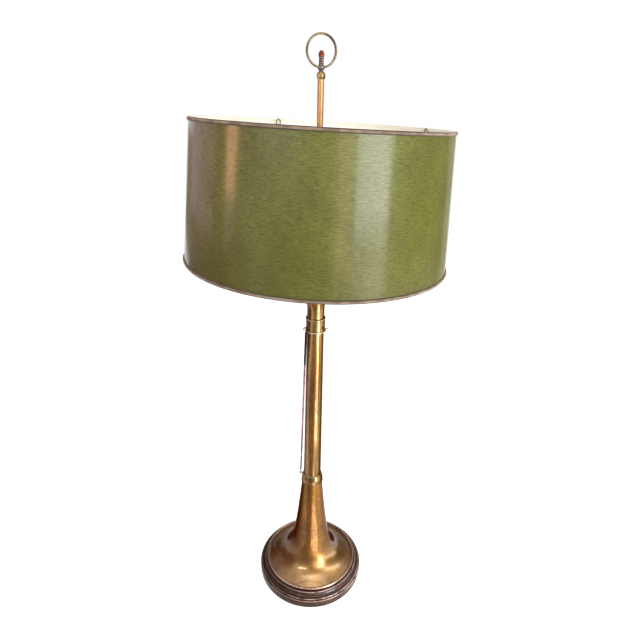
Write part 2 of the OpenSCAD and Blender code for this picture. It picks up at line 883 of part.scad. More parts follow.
module socket_cap(side) {
    hub_top = socket_z + socket_cap_h / 4;
    dome = curve([socket_hub_r, hub_top], [cap_r, hub_top], [cap_r, shell_z]);
    inward = [shell_wall, -shell_wall];
    color([0.72, 0.55, 0.28])
        at_socket(side)
            difference() {
                turned(concat(
                    [[0, socket_z], [socket_hub_r, socket_z]],
                    dome,
                    [[cap_r, cap_edge_z], [cap_r - shell_wall, cap_edge_z]],
                    [for (i = [len(dome) - 1:-1:0]) dome[i] - inward],
                    [[0, hub_top + shell_wall]]
                ));
                translate([0, 0, socket_z - cut])
                    cylinder(h = socket_cap_h, d = pipe_hole_d);
            }
}

// The key's path through the socket's wall, out along +X
module key_hole(gap) {
    translate([0, 0, key_z])
        rotate([0, 90, 0])
            cylinder(h = cap_r + cut, d = key_shaft_d + 2 * gap);
}

module socket_shell(side) {
    color([0.74, 0.57, 0.3])
        at_socket(side)
            difference() {
                sleeve(shell_z, shell_h, shell_d / 2, shell_in_r);
                key_hole(run_fit);
            }
}

module socket_liner(side) {
    color([0.5, 0.4, 0.28])
        at_socket(side)
            difference() {
                sleeve(shell_z, shell_h - shell_wall, liner_r, liner_r - liner_t);
                key_hole(2 * fit);
            }
}

module socket_core(side) {
    color([0.12, 0.1, 0.09])
        at_socket(side)
            difference() {
                translate([0, 0, core_z])
                    cylinder(h = core_h, r = core_r);
                key_hole(2 * fit);
            }
}

module screw_shell(side) {
    color([0.8, 0.65, 0.35])
        at_socket(side)
            difference() {
                translate([0, 0, core_top])
                    cylinder(h = screw_shell_h, r = screw_shell_d / 2 + screw_shell_wall);
                translate([0, 0, core_top + screw_shell_wall])
                    cylinder(h = screw_shell_h, d = screw_shell_d);
            }
}

module switch_key(side) {
    grip_x = key_neck + key_grip_d / 2;
    color([0.1, 0.09, 0.08])
        at_socket(side)
            translate([0, 0, key_z])
                union() {
                    translate([core_r / 2, 0, 0])
                        rotate([0, 90, 0])
                            cylinder(h = grip_x - core_r / 2, d = key_shaft_d);
                    translate([grip_x, key_grip_t / 2, 0])
                        rotate([90, 0, 0])
                            cylinder(h = key_grip_t, d = key_grip_d);
                }
}

module bulb_base(side) {
    tip_r = bulb_base_d / 5;
    shoulder = bulb_z + bulb_base_h / 5;
    color([0.75, 0.75, 0.74])
        at_socket(side)
            turned([
                [0, bulb_z],
                [tip_r, bulb_z],
                [bulb_base_d / 2, shoulder],
                [bulb_base_d / 2, glass_z],
                [0, glass_z]
            ]);
}

module bulb_glass(side) {
    bulb_r = bulb_d / 2;
    neck_r = bulb_base_d / 2;
    ball_z = glass_z + bulb_glass_h - bulb_r;
    // Where the ball gives way to the neck's curve
    turn = -20;
    side_point = [bulb_r * cos(turn), ball_z + bulb_r * sin(turn)];
    color([0.95, 0.93, 0.86, 0.8])
        at_socket(side)
            turned(concat(
                [[0, glass_z]],
                curve([neck_r, glass_z], [neck_r, glass_z + bulb_glass_h / 4], side_point),
                arc([0, ball_z], bulb_r, turn, 90, 10)
            ));
}

module centre_rod() {
    bore_h = rod_len - spigot_d;
    color([0.75, 0.55, 0.3])
        difference() {
            union() {
                translate([0, 0, rod_z])
                    cylinder(h = rod_len, d = pipe_d);
                translate([0, 0, rod_top - cut])
                    cylinder(h = spigot_h + cut, d = spigot_d);
            }
            translate([0, 0, rod_z - cut])
                cylinder(h = bore_h, d = pipe_bore);
        }
}

module shade_collar() {
    color([0.7, 0.52, 0.26])
        difference() {
            union() {
                translate([0, 0, collar_z])
                    cylinder(h = collar_h + collar_flange_t / 2, d = collar_d);
                translate([0, 0, hub_z - collar_flange_t])
                    cylinder(h = collar_flange_t, d = collar_flange_d);
                translate([0, 0, hub_z - cut])
                    cylinder(h = neck_top - hub_z + cut, d = collar_neck_d);
                bar_y(-thumb_boss_y, 0, thumb_z, 2 * thumb_d);
            }
            translate([0, 0, collar_z - cut])
                cylinder(h = neck_top, r = collar_bore_r);
            bar_y(-thumb_boss_y - cut, 0, thumb_z, thumb_d + 2 * run_fit);
        }
}

module collar_nut() {
    color([0.74, 0.57, 0.3])
        sleeve(neck_top - collar_nut_h, collar_nut_h, collar_flange_d * 0.42, collar_neck_d / 2 + fit);
}

module thumb_screw() {
    tip_y = collar_bore_r + 2 * fit;
    grip_y = thumb_neck_y + thumb_grip_d / 2;
    color([0.72, 0.55, 0.28])
        union() {
            bar_y(-grip_y, -tip_y, thumb_z, thumb_d);
            bar_y(-thumb_neck_y - fit, -thumb_boss_y - 3 * fit, thumb_z, 1.6 * thumb_d);
            translate([-thumb_grip_t / 2, -grip_y, thumb_z])
                rotate([0, 90, 0])
                    cylinder(h = thumb_grip_t, d = thumb_grip_d);
        }
}

// Where an arm leaves the hub, and where it meets the foot of its loop
function arm_turn(i) = arm_angle - 90 + 90 * i;
function arm_foot(i) =
    [0, 0, arm_seat_z] + (collar_neck_d / 2 + hub_r) / 2 * [cos(arm_turn(i)), sin(arm_turn(i)), 0];
function arm_end(i) = leaning([loop_c * cos(arm_turn(i)), loop_c * sin(arm_turn(i)), -loop_h]);

module spider_hub() {
    color([0.62, 0.5, 0.3])
        difference() {
            sleeve(hub_z + hub_play, hub_t, hub_r, hub_bore_r);
            for (i = [0:3])
                bar(arm_foot(i), arm_end(i), spider_wire_d + 2 * fit);
        }
}

// An upright wire loop inside the top ring, on a short cross bar
module arm_loop() {
    translate([loop_c, 0, -loop_h])
        bar_y(-loop_w / 2 - leg_d, loop_w / 2 + leg_d, 0, loop_foot_d);
    for (side = [left, right])
        translate([loop_c, side * loop_w / 2, -loop_h])
            cylinder(h = loop_h + loop_bend_z, d = leg_d);
    translate([loop_c, 0, loop_bend_z])
        rotate([90, 0, 90])
            rotate_extrude(angle = 180)
                translate([loop_w / 2, 0])
                    circle(d = loop_wire_d);
}

// Each arm: a straight wire from the hub to the foot of its loop, which is soldered to the top ring
module spider_arms() {
    color([0.6, 0.48, 0.3])
        for (i = [0:3])
            union() {
                bar(arm_foot(i), arm_end(i), spider_wire_d);
                on_shade()
                    rotate([0, 0, arm_turn(i)])
                        arm_loop();
            }
}

module top_ring() {
    color([0.65, 0.55, 0.4])
        on_shade()
            translate([0, 0, ring_top_z])
                wire_ring(top_ring_c, ring_wire_d);
}

module bottom_ring() {
    color([0.65, 0.55, 0.4])
        on_shade()
            translate([0, 0, bottom_ring_z])
                wire_ring(bottom_ring_c, ring_wire_d);
}

// A conical skin of the shade, from depth a to depth b, t thick, its face d inside the fabric's
module skin(a, b, d, t) {
    turned([
        [wall_r(a) - d, a],
        [wall_r(b) - d, b],
        [wall_r(b) - d - t, b],
        [wall_r(a) - d - t, a]
    ]);
}

module shade_fabric() {
    color([0.43, 0.47, 0.18])
        on_shade()
            skin(0, -shade_h, 0, fabric_t);
}

module shade_lining() {
    color([0.93, 0.9, 0.82])
        on_shade()
            skin(0, -shade_h, fabric_t + fit, lining_t);
}

module top_trim() {
    color([0.5, 0.42, 0.36])
        on_shade()
            skin(0, -trim_h, -fit - trim_t, trim_t);
}

module bottom_trim() {
    color([0.5, 0.42, 0.36])
        on_shade()
            skin(trim_h - shade_h, -shade_h, -fit - trim_t, trim_t);
}

module finial_barrel() {
    foot = [rod_r, barrel_z];
    top = [rod_r, barrel_z + barrel_h];
    pull = [barrel_d - rod_r, barrel_z + barrel_h / 2];
    color([0.8, 0.66, 0.38])
        difference() {
            turned(concat(
                [[0, barrel_z]],
                curve(foot, pull, top, 12),
                [[0, barrel_z + barrel_h]]
            ));
            translate([0, 0, barrel_z - cut])
                cylinder(h = spigot_h + fit + cut, r = spigot_d / 2 + run_fit);
        }
}

module ring_shape(gap) {
    translate([0, 0, finial_ring_z])
        rotate([90, 0, ring_turn])
            rotate_extrude()
                translate([finial_ring_d / 2 - band_t / 2, 0])
                    union() {
                        square([band_t + 2 * gap, band_w - band_t], center = true);
                        for (s = [-1, 1])
                            translate([0, s * (band_w - band_t) / 2])
                                circle(d = band_t + 2 * gap);
                    }
}

module finial_stem() {
    groove = spindle_h / 5;
    color([0.3, 0.2, 0.14])
        difference() {
            union() {
                translate([0, 0, barrel_z + barrel_h])
                    cylinder(h = finial_neck_h + cut, d = finial_neck_d);
                translate([0, 0, boss_z])
                    cylinder(h = boss_h, d = boss_d);
                translate([0, 0, spindle_z - cut])
                    cylinder(h = spindle_h + cut, d = finial_neck_d);
                for (i = [0:2])
                    translate([0, 0, spindle_z + 2 * i * groove])
                        cylinder(h = groove, d = spindle_d);
            }
            ring_shape(fit);
        }
}

module finial_ring() {
    color([0.72, 0.58, 0.35])
        ring_shape(0);
}

module finial_tip() {
    tip_r = tip_d / 2;
    top = tip_z + tip_h;
    color([0.66, 0.3, 0.15])
        turned(concat(
            [[0, tip_z], [tip_r, tip_z]],
            curve([tip_r, tip_z + tip_h / 4], [tip_r, tip_z + tip_h * 0.9], [tip_r / 5, top]),
            [[0, top]]
        ));
}

felt_pad();
wood_base();
base_weight();
weight_screws();
base_washer();
base_nut();
cord_bushing();
bell_rim();
bell();
lower_ferrule();
main_tube();
upper_ferrule();
mouthpiece();
lamp_pipe();
chain_link();
bead_chain();
chain_hook();
vase_cap();
cap_nut();
cluster_body();
cluster_cover();
arm(left);  // arm_left
arm(right);  // arm_right
socket_cap(left);  // socket_cap_left
socket_cap(right);  // socket_cap_right
socket_shell(left);  // socket_shell_left
socket_shell(right);  // socket_shell_right
socket_liner(left);  // socket_liner_left
socket_liner(right);  // socket_liner_right
socket_core(left);  // socket_core_left
socket_core(right);  // socket_core_right
screw_shell(left);  // screw_shell_left
screw_shell(right);  // screw_shell_right
switch_key(left);  // switch_key_left
switch_key(right);  // switch_key_right
bulb_base(left);  // bulb_base_left
bulb_base(right);  // bulb_base_right
bulb_glass(left);  // bulb_glass_left
bulb_glass(right);  // bulb_glass_right
centre_rod();
shade_collar();
collar_nut();
thumb_screw();
spider_hub();
spider_arms();
top_ring();
bottom_ring();
shade_fabric();
shade_lining();
top_trim();
bottom_trim();
finial_barrel();
finial_stem();
finial_ring();
finial_tip();
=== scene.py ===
import math

import bmesh
import bpy
from mathutils import Matrix, Vector


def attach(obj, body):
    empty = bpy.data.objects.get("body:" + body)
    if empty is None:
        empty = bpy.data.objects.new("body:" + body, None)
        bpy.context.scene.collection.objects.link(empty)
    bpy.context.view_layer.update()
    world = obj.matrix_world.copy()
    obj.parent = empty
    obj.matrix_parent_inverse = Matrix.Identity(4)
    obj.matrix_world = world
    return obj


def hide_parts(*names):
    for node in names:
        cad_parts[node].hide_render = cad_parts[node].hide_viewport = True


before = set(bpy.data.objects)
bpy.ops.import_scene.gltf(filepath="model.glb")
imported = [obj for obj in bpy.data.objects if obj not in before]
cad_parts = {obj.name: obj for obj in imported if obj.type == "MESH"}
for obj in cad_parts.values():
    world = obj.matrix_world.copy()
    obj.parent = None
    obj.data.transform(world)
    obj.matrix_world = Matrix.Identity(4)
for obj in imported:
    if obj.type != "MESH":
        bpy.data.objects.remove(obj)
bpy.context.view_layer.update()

# Studio. The camera stands close in front, a little above the middle of the shade, and looks down the horn.
# A window of softboxes stands front right, with panels on the floor under it, a narrow warm doorway on the
# left and a sheet of light overhead. Dark sheets, seen only as reflections, keep metal and satin cloth deep.
eye_place = (0, -0.8439, 0.9956)
look_down = math.radians(23.21)
head_tilt = math.radians(1.269)
eye = bpy.data.objects.new("camera", bpy.data.cameras.new("camera"))
eye.data.lens = 27.34
eye.data.sensor_width = 36
eye.data.shift_x = 0.0069
eye.matrix_world = (
    Matrix.Translation(eye_place)
    @ Matrix.Rotation(math.pi / 2 - look_down, 4, "X")
    @ Matrix.Rotation(head_tilt, 4, "Z")
)
bpy.context.collection.objects.link(eye)
bpy.context.scene.camera = eye
bpy.context.scene.view_settings.view_transform = "Standard"


def softbox(name, place, aim, wide, tall, brightness, colour, lights=True):
    """An area lamp at a place, facing a point; one that lights nothing is only a reflection."""
    lamp = bpy.data.lights.new(name, "AREA")
    lamp.shape, lamp.size, lamp.size_y = "RECTANGLE", wide, tall
    lamp.energy = brightness * math.pi * wide * tall
    lamp.color = colour
    box = bpy.data.objects.new(name, lamp)
    box.location = place
    box.rotation_euler = (Vector(aim) - box.location).to_track_quat("-Z", "Y").to_euler()
    box.visible_camera = False
    box.visible_diffuse = lights
    bpy.context.collection.objects.link(box)


softbox("window", (1.5, -1.72, 1.19), (0, 0, 1.1), 1.1, 1.14, 6.2, (0.96, 1, 1))
softbox("window_sill", (1.5, -1.72, 0.4), (0, 0, 0.8), 1.1, 0.4, 1.5, (1, 0.97, 0.9))
softbox("curtain", (0.74, -2.15, 1.05), (0, 0, 0.9), 0.5, 1.3, 2.4, (1, 0.78, 0.48))
softbox("skylight", (1.36, -0.2, 1.38), (0, 0, 0.1), 1.4, 0.35, 4.0, (1, 0.97, 0.9))
softbox("spot", (-1.04, -1.38, 1.41), (0, 0, 0.1), 0.4, 0.12, 36.0, (1, 1, 1))
softbox("glint", (-0.64, -1.62, 1.41), (0, 0, 0.1), 0.3, 0.12, 36.0, (1, 1, 1), lights=False)
softbox("low_panel", (1.38, -0.15, 0.14), (0, -0.1, 0.1), 1.5, 0.26, 3.0, (1, 0.95, 0.86))
softbox("near_panel", (0.62, -0.68, 0.16), (0, 0, 0.1), 0.28, 0.34, 12.0, (1, 0.97, 0.88))
softbox("strip", (-0.1, -0.8, 1.95), (0, 0, 0), 1.1, 0.2, 3.2, (1, 0.99, 0.97))
softbox("floor_near", (0.1, -0.27, 0.004), (0.11, -0.3, 1), 0.15, 0.28, 5.0, (1, 0.98, 0.94))
softbox("floor_far", (0.47, -0.65, 0.004), (0.49, -0.68, 1), 0.42, 0.7, 5.0, (1, 0.98, 0.94))
softbox("floor_back", (0.75, -1.4, 0.004), (0.77, -1.44, 1), 0.6, 0.8, 4.5, (1, 0.98, 0.94))
softbox("doorway", (-2.1, -0.62, 1.15), (0, 0, 0.9), 0.46, 0.6, 7.0, (1, 0.42, 0.22))
softbox("ceiling", (0.2, -0.56, 2.9), (0, 0, 0.8), 1.8, 1.8, 2.0, (1, 0.98, 0.95))


def seen_directly(tree):
    """1 for what the camera sees, also through glass or in metal; 0 for light on its way to the object."""
    rays = tree.nodes.new("ShaderNodeLightPath")
    either = rays.outputs["Is Camera Ray"]
    for kind in ("Is Glossy Ray", "Is Transmission Ray"):
        join = tree.nodes.new("ShaderNodeMath")
        join.operation = "MAXIMUM"
        tree.links.new(either, join.inputs[0])
        tree.links.new(rays.outputs[kind], join.inputs[1])
        either = join.outputs[0]
    return either


studio = bpy.data.worlds.new("studio")
bpy.context.scene.world = studio
studio.use_nodes = True
sky = studio.node_tree
tone = sky.nodes.new("ShaderNodeMix")
tone.data_type = "RGBA"
tone.inputs[6].default_value = (0.32, 0.31, 0.3, 1)
tone.inputs[7].default_value = (1, 1, 1, 1)
sky.links.new(seen_directly(sky), tone.inputs[0])
sky.links.new(tone.outputs[2], sky.nodes["Background"].inputs["Color"])


def backdrop(name, wide, tall, place, turn, colour, lift):
    """A flat sheet of the studio; lift is its own light where it is seen. Only the floor shows itself and
    takes shadows."""
    bm = bmesh.new()
    bmesh.ops.create_grid(bm, x_segments=1, y_segments=1, size=0.5,
                          matrix=Matrix.Translation(place) @ turn @ Matrix.Diagonal((wide, tall, 1, 1)))
    sheet = bpy.data.objects.new(name, bpy.data.meshes.new(name))
    bm.to_mesh(sheet.data)
    bm.free()
    paint = bpy.data.materials.new(name)
    paint.use_nodes = True
    tree = paint.node_tree
    paper = tree.nodes["Principled BSDF"]
    paper.inputs["Base Color"].default_value = (*colour, 1)
    paper.inputs["Roughness"].default_value = 0.9
    paper.inputs["Specular IOR Level"].default_value = 0.1
    paper.inputs["Emission Color"].default_value = (*colour, 1)
    glow = tree.nodes.new("ShaderNodeMath")
    glow.operation = "MULTIPLY"
    glow.inputs[1].default_value = lift
    tree.links.new(seen_directly(tree), glow.inputs[0])
    tree.links.new(glow.outputs[0], paper.inputs["Emission Strength"])
    sheet.data.materials.append(paint)
    sheet.visible_camera = sheet.visible_diffuse = sheet.visible_shadow = name == "floor"
    bpy.context.collection.objects.link(sheet)


level = Matrix()
upright = Matrix.Rotation(math.pi / 2, 4, "X")
sideways = Matrix.Rotation(math.pi / 2, 4, "Z") @ upright
backdrop("floor", 16, 16, (0, 0, 0), level, (0.88, 0.88, 0.88), 0.82)
backdrop("front_mat", 2.1, 1.5, (0.25, -0.97, 0.002), level, (0.3, 0.23, 0.16), 0.9)
backdrop("left_flag", 2.05, 0.68, (-1.36, 0.0, 0.34), sideways, (0.16, 0.11, 0.1), 0.7)
backdrop("left_post", 0.3, 0.9, (-1.36, -0.2, 1.13), sideways, (0.16, 0.12, 0.11), 0.7)
backdrop("left_wall", 1.1, 0.9, (-1.36, 0.5, 1.13), sideways, (0.42, 0.28, 0.36), 1.05)
backdrop("left_far", 1.2, 0.6, (-1.36, 1.65, 0.68), sideways, (0.22, 0.15, 0.13), 0.8)
backdrop("left_card", 0.6, 0.48, (-0.75, -0.15, 0.44), sideways, (0.14, 0.1, 0.08), 0.6)
backdrop("left_screen", 1.85, 1.5, (-2.3, -1.78, 0.75), sideways, (0.28, 0.3, 0.33), 0.8)
backdrop("right_flag", 2.05, 0.87, (1.45, 0.025, 0.715), sideways, (0.14, 0.12, 0.09), 0.6)
backdrop("right_far", 1.9, 1.2, (1.47, 1.55, 0.6), sideways, (0.36, 0.36, 0.28), 0.9)
backdrop("rear_flag", 5, 0.75, (0, -2.7, 0.375), upright, (0.16, 0.15, 0.13), 0.8)
backdrop("rear_wall", 5, 0.75, (0, -2.7, 1.125), upright, (0.34, 0.35, 0.38), 0.8)
backdrop("front_flag", 5, 3, (0, -2.7, 3.0), upright, (0.16, 0.15, 0.13), 0.6)
backdrop("high_flag", 3.5, 2, (-1.75, 2.6, 2.7), upright, (0.16, 0.12, 0.1), 0.6)
backdrop("high_wall", 3.5, 2, (1.75, 2.6, 2.7), upright, (0.5, 0.4, 0.36), 0.9)


# Turned base of dark stained hardwood: a straight plinth, a small bead, a cove and a half-round crown, cut
# on the lathe in one piece and French polished, with the coat rougher along the edges and thickest on the
# right. The pale lines along the edges are painted highlights, brighter on the right, and the rubbed tone
# is painted lighter on the right as lit; the plinth has one chip in front.
class Tone:
    """A value or colour over a surface; sums and products of tones add the nodes that work them out."""

    def __init__(self, tree, socket):
        self.tree, self.socket = tree, socket

    def node(self, kind, settings, sockets, out=0):
        made = self.tree.nodes.new("ShaderNode" + kind)
        for name, value in settings.items():
            setattr(made, name, value)
        for name, value in sockets.items():
            if isinstance(value, Tone):
                self.tree.links.new(value.socket, made.inputs[name])
            else:
                made.inputs[name].default_value = value
        return Tone(self.tree, made.outputs[out])

    def maths(self, operation, *values):
        return self.node("Math", {"operation": operation}, dict(enumerate(values)))

    def __add__(self, other): return self.maths("ADD", self, other)
    def __radd__(self, other): return self.maths("ADD", other, self)
    def __sub__(self, other): return self.maths("SUBTRACT", self, other)
    def __rsub__(self, other): return self.maths("SUBTRACT", other, self)
    def __mul__(self, other): return self.maths("MULTIPLY", self, other)
    def __rmul__(self, other): return self.maths("MULTIPLY", other, self)
    def __truediv__(self, other): return self.maths("DIVIDE", self, other)
    def __pow__(self, other): return self.maths("POWER", self, other)
    def __abs__(self): return self.maths("ABSOLUTE", self)

    def ramp(self, low, high):
        """0 below low, 1 above high, and a smooth rise between; high may be the smaller."""
        return self.node("MapRange", {"interpolation_type": "SMOOTHSTEP"},
                         {"Value": self, "From Min": low, "From Max": high})

    def between(self, a, b):
        """Colour a where this is 0, colour b where it is 1."""
        return self.node("Mix", {"data_type": "RGBA"}, {0: self, 6: a, 7: b}, 2)

    def stretched(self, x, y, z):
        return self.node("Mapping", {}, {"Vector": self, "Scale": (x, y, z)})

    def noise(self, scale, detail=3.0, roughness=0.55):
        return self.node("TexNoise", {}, {"Vector": self, "Scale": scale, "Detail": detail,
                                          "Roughness": roughness})

    def axes(self):
        """The x, y and z of a place."""
        parts = self.node("SeparateXYZ", {}, {"Vector": self}).socket.node.outputs
        return [Tone(self.tree, part) for part in parts]


def tint(code):
    """A colour as seen on screen, from its six hex digits, in Blender's linear light."""
    parts = [int(code[i:i + 2], 16) / 255 for i in (0, 2, 4)]
    return (*[v / 12.92 if v < 0.04 else ((v + 0.055) / 1.055) ** 2.4 for v in parts], 1)


def finish(name, constants, looks):
    """A material: constants sit on the shader, and looks gives what varies from a place on the piece.
    Height is relief in metres."""
    material = bpy.data.materials.new(name)
    material.use_nodes = True
    tree = material.node_tree
    shader = tree.nodes["Principled BSDF"]
    for socket, value in constants.items():
        shader.inputs[socket].default_value = value
    place = Tone(tree, tree.nodes.new("ShaderNodeTexCoord").outputs["Object"])
    for socket, value in looks(place).items():
        if socket == "Height":
            socket, value = "Normal", place.node("Bump", {}, {"Height": value, "Distance": 1.0})
        tree.links.new(value.socket, shader.inputs[socket])
    return material


def turned(profile, steps=128, closed=False):
    """A lathe-turned shape from its half section in millimetres: (radius, height) or, for a rounded corner,
    (radius, height, rounding)."""
    bm = bmesh.new()
    corners = [bm.verts.new((p[0], 0, p[1])) for p in profile]
    for pair in zip(corners, corners[1:] + corners[:1] if closed else corners[1:]):
        bm.edges.new(pair)
    for corner, p in zip(corners, profile):
        if len(p) == 3:
            bmesh.ops.bevel(bm, geom=[corner], offset=p[2], segments=6, profile=0.5, affect="VERTICES",
                            material=-1)
    bmesh.ops.spin(bm, geom=bm.verts[:] + bm.edges[:], axis=(0, 0, 1), cent=(0, 0, 0), angle=2 * math.pi,
                   steps=steps, use_merge=True, use_normal_flip=False)
    return bm


def piece(name, bm, material, body, slot, *nodes, smooth=35):
    """Turns a millimetre shape into a finished piece that rides on a body and stands for its CAD nodes."""
    bmesh.ops.scale(bm, vec=(0.001, 0.001, 0.001), verts=bm.verts)
    bmesh.ops.remove_doubles(bm, verts=bm.verts, dist=1e-6)
    bmesh.ops.dissolve_degenerate(bm, edges=bm.edges, dist=1e-7)
    bmesh.ops.recalc_face_normals(bm, faces=bm.faces)
    for face in bm.faces:
        face.smooth = True
    for edge in bm.edges:
        edge.smooth = len(edge.link_faces) != 2 or edge.calc_face_angle() < math.radians(smooth)
    made = bpy.data.objects.new(name, bpy.data.meshes.new(name))
    bm.to_mesh(made.data)
    bm.free()
    made.data.materials.append(material)
    bpy.context.collection.objects.link(made)
    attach(made, body)
    if nodes:
        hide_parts(*nodes)
    return made


painted_highlight_edges = ((0.1167, 0.0188), (0.1136, 0.0218), (0.1052, 0.0324))
chip_place = (0.0655, -0.097, 0.0125)


def stained_wood(p):
    x, y, z = p.axes()
    radius = (x * x + y * y) ** 0.5
    grain = p.stretched(1, 9, 9).noise(34, 5, 0.6)
    pores = p.stretched(1, 14, 14).noise(130, 2).ramp(0.58, 0.68)
    # Stronger to the right: a thicker coat there, and colour painted lighter there as lit.
    lit_right_and_coat = x.ramp(-0.06, 0.05)
    # Painted highlights: patchy pale lines along the crown, bead and plinth edges, where the coat is also
    # rougher.
    worn = 0
    for edge_r, edge_z in painted_highlight_edges:
        reach = ((radius - edge_r) ** 2 + (z - edge_z) ** 2) ** 0.5
        worn = worn + reach.ramp(0.0016, 0.0004)
    worn = worn * p.noise(60, 3).ramp(0.3, 0.56) * (0.45 + 0.55 * lit_right_and_coat)
    rubbed = p.noise(48, 4).ramp(0.5, 0.75)
    off_chip = p.node("VectorMath", {"operation": "DISTANCE"}, {0: p, 1: chip_place}, 1)
    chip = off_chip.ramp(0.0065, 0.002) * p.noise(260, 3).ramp(0.4, 0.55)
    colour = grain.ramp(0.25, 0.8).between(tint("20100a"), tint("452318"))
    # Rubbed tone, painted lighter on the right as lit.
    colour = (rubbed * (0.08 + 0.2 * lit_right_and_coat)).between(colour, tint("7a4a33"))
    colour = (pores * 0.4).between(colour, tint("1d0e0b"))
    # Painted highlight lines along the edges.
    colour = (worn * 0.8).between(colour, tint("cbb0a2"))
    colour = (chip * 0.9).between(colour, tint("180b08"))
    return {"Base Color": colour, "Roughness": 0.26 + 0.14 * rubbed + 0.15 * worn + 0.3 * chip,
            "Coat Weight": 0.08 + 0.25 * lit_right_and_coat + (0.25 + 0.4 * lit_right_and_coat) * z.ramp(0.016, 0.0195),
            "Height": grain * 0.00003 - pores * 0.00002 - chip * 0.0008}


wood = finish("stained_wood", {"Coat Roughness": 0.08, "Coat IOR": 1.45, "Specular IOR Level": 0.1},
              stained_wood)
base = turned([
    (0, 15), (75, 15), (75, 2), (117, 2, 0.8), (117, 19, 1.3), (114.4, 19), (114.4, 20.2),
    (113.6, 20.2, 1.5), (113.6, 23.4, 1.5), (111.4, 23.4, 0.3), (104.5, 23.4, 6), (104.5, 30.8, 0.3),
    (105.27, 30.8, 1.5), (105.27, 34, 1.5), (0, 34),
], 160)
piece("turned_base", base, wood, "stand", "wood", "wood_base")


# Felt pad: a disc of dark green pressed wool, cut to the base and glued to its underside, so that the lamp
# stands soft on a floor or table.
def pressed_felt(p):
    fibre = p.noise(900, 3, 0.7)
    cloud = p.noise(40, 3)
    colour = fibre.between(tint("1c2418"), tint("3c4632"))
    return {"Base Color": (cloud * 0.3).between(colour, tint("2a2a22")), "Height": fibre * 0.0004}


felt = finish("pressed_felt", {"Roughness": 0.95, "Specular IOR Level": 0.15}, pressed_felt)


def carry(material, *names):
    """Gives a material to CAD nodes whose own shape is shown."""
    for name in names:
        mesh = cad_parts[name].data
        mesh.materials.clear()
        mesh.materials.append(material)


carry(felt, "felt_pad")


# Ballast under the wood: a rough grey casting in the recess, held by three zinc screws, with the washer and
# the pipe that draw the whole horn down on the base.
def sand_casting(p):
    sand = p.noise(420, 4, 0.65)
    return {"Base Color": sand.between(tint("2b2b2d"), tint("5a5a5c")), "Height": sand * 0.0006,
            "Roughness": 0.6 + 0.3 * sand}


def zinc_plate(p):
    spangle = p.noise(260, 2)
    return {"Base Color": spangle.between(tint("8d9092"), tint("c3c4c2")), "Roughness": 0.28 + 0.25 * spangle}


iron = finish("sand_casting", {"Metallic": 0.6}, sand_casting)
zinc = finish("zinc_plate", {"Metallic": 1.0}, zinc_plate)
carry(iron, "base_weight")
carry(zinc, "weight_screws", "base_washer", "lamp_pipe")


# Cord bushing: a short sleeve of moulded black rubber, pressed into its hole in the back of the plinth, where
# a cord would leave the lamp.
def moulded_rubber(p):
    dust = p.noise(300, 3)
    return {"Base Color": dust.between(tint("121212"), tint("2a2928")), "Roughness": 0.6 + 0.25 * dust,
            "Height": dust * 0.0001}


rubber = finish("moulded_rubber", {}, moulded_rubber)
carry(rubber, "cord_bushing")


# Rolled rim of the bell: a ring of pinkish copper alloy rolled over a wire, on a thin ledge that the bell's
# foot stands on. Its colour is pale, partly the alloy's own and partly a painted highlight. Just above it
# the bell is darker in blotches.
def tarnished(bright, middle, brown, gloss, spots, streak=1.0):
    """A worn metal: bright where it is rubbed, brown where the lacquer has gone, with fine dark spots.
    Its left and right sides are painted brown as shade."""
    def looks(p):
        drawn = p.stretched(1, 1, streak)
        cloud = drawn.noise(20, 5, 0.55)
        fine = drawn.noise(210, 3, 0.55)
        pit = p.noise(640, 2).ramp(0.66, 0.76)
        rubbed = (0.75 * cloud + 0.25 * fine).ramp(0.34, 0.66)
        x, y, _ = p.axes()
        # Painted shade: the left and right sides are browner, with fewer bright flecks.
        painted_side_shade = abs(x / (x * x + y * y) ** 0.5).ramp(0.55, 0.95)
        colour = (rubbed * (1 - 0.8 * painted_side_shade)).between(brown, middle)
        colour = (fine.ramp(0.5, 0.8) * (0.3 - 0.25 * painted_side_shade)).between(colour, bright)
        colour = (pit * spots).between(colour, tint("2a1a0e"))
        return {"Base Color": colour, "Roughness": gloss + 0.1 * (1 - rubbed) + 0.12 * pit,
                "Height": (fine - pit) * 0.000004}
    return looks


# Pale tints: partly the alloy's own colour, partly a painted highlight.
rim_copper = finish("rim_copper", {"Metallic": 1.0},
                    tarnished(tint("dccabc"), tint("c2a898"), tint("8a6c5e"), 0.14, 0.5))
rim = turned([
    (84.5, 34), (98.4, 34), (101, 34.6, 1.6), (101, 39.2, 2.3), (96.1, 39.2, 2.2), (95.8, 35.2, 0.4),
    (84.5, 35.2),
], 160, closed=True)
piece("rolled_rim", rim, rim_copper, "stand", "rim_copper", "bell_rim")


# Bell of the horn: sheet brass spun over a former, with a soft-soldered seam a hand's width above the foot.
# It keeps more of its gold lacquer than the tube, most of all low in the dish. Its left and back are painted
# dark brown as shade, with less coat, and the front of its flare is painted pale, partly as rubbed brass and
# partly as highlight. Just above the rim it is darker in blotches.
bell_foot, bell_tall, bell_wall = 35.2, 228, 1.0
seam_height = 0.138


def bell_radius(x):
    """Outside radius at a height above the foot: a straight taper, and a flare that dies out at the top."""
    return 20.9 + 0.08 * (bell_tall - x) + 55.26 * (36 / (x + 36)) ** 2 - 0.004507 * x


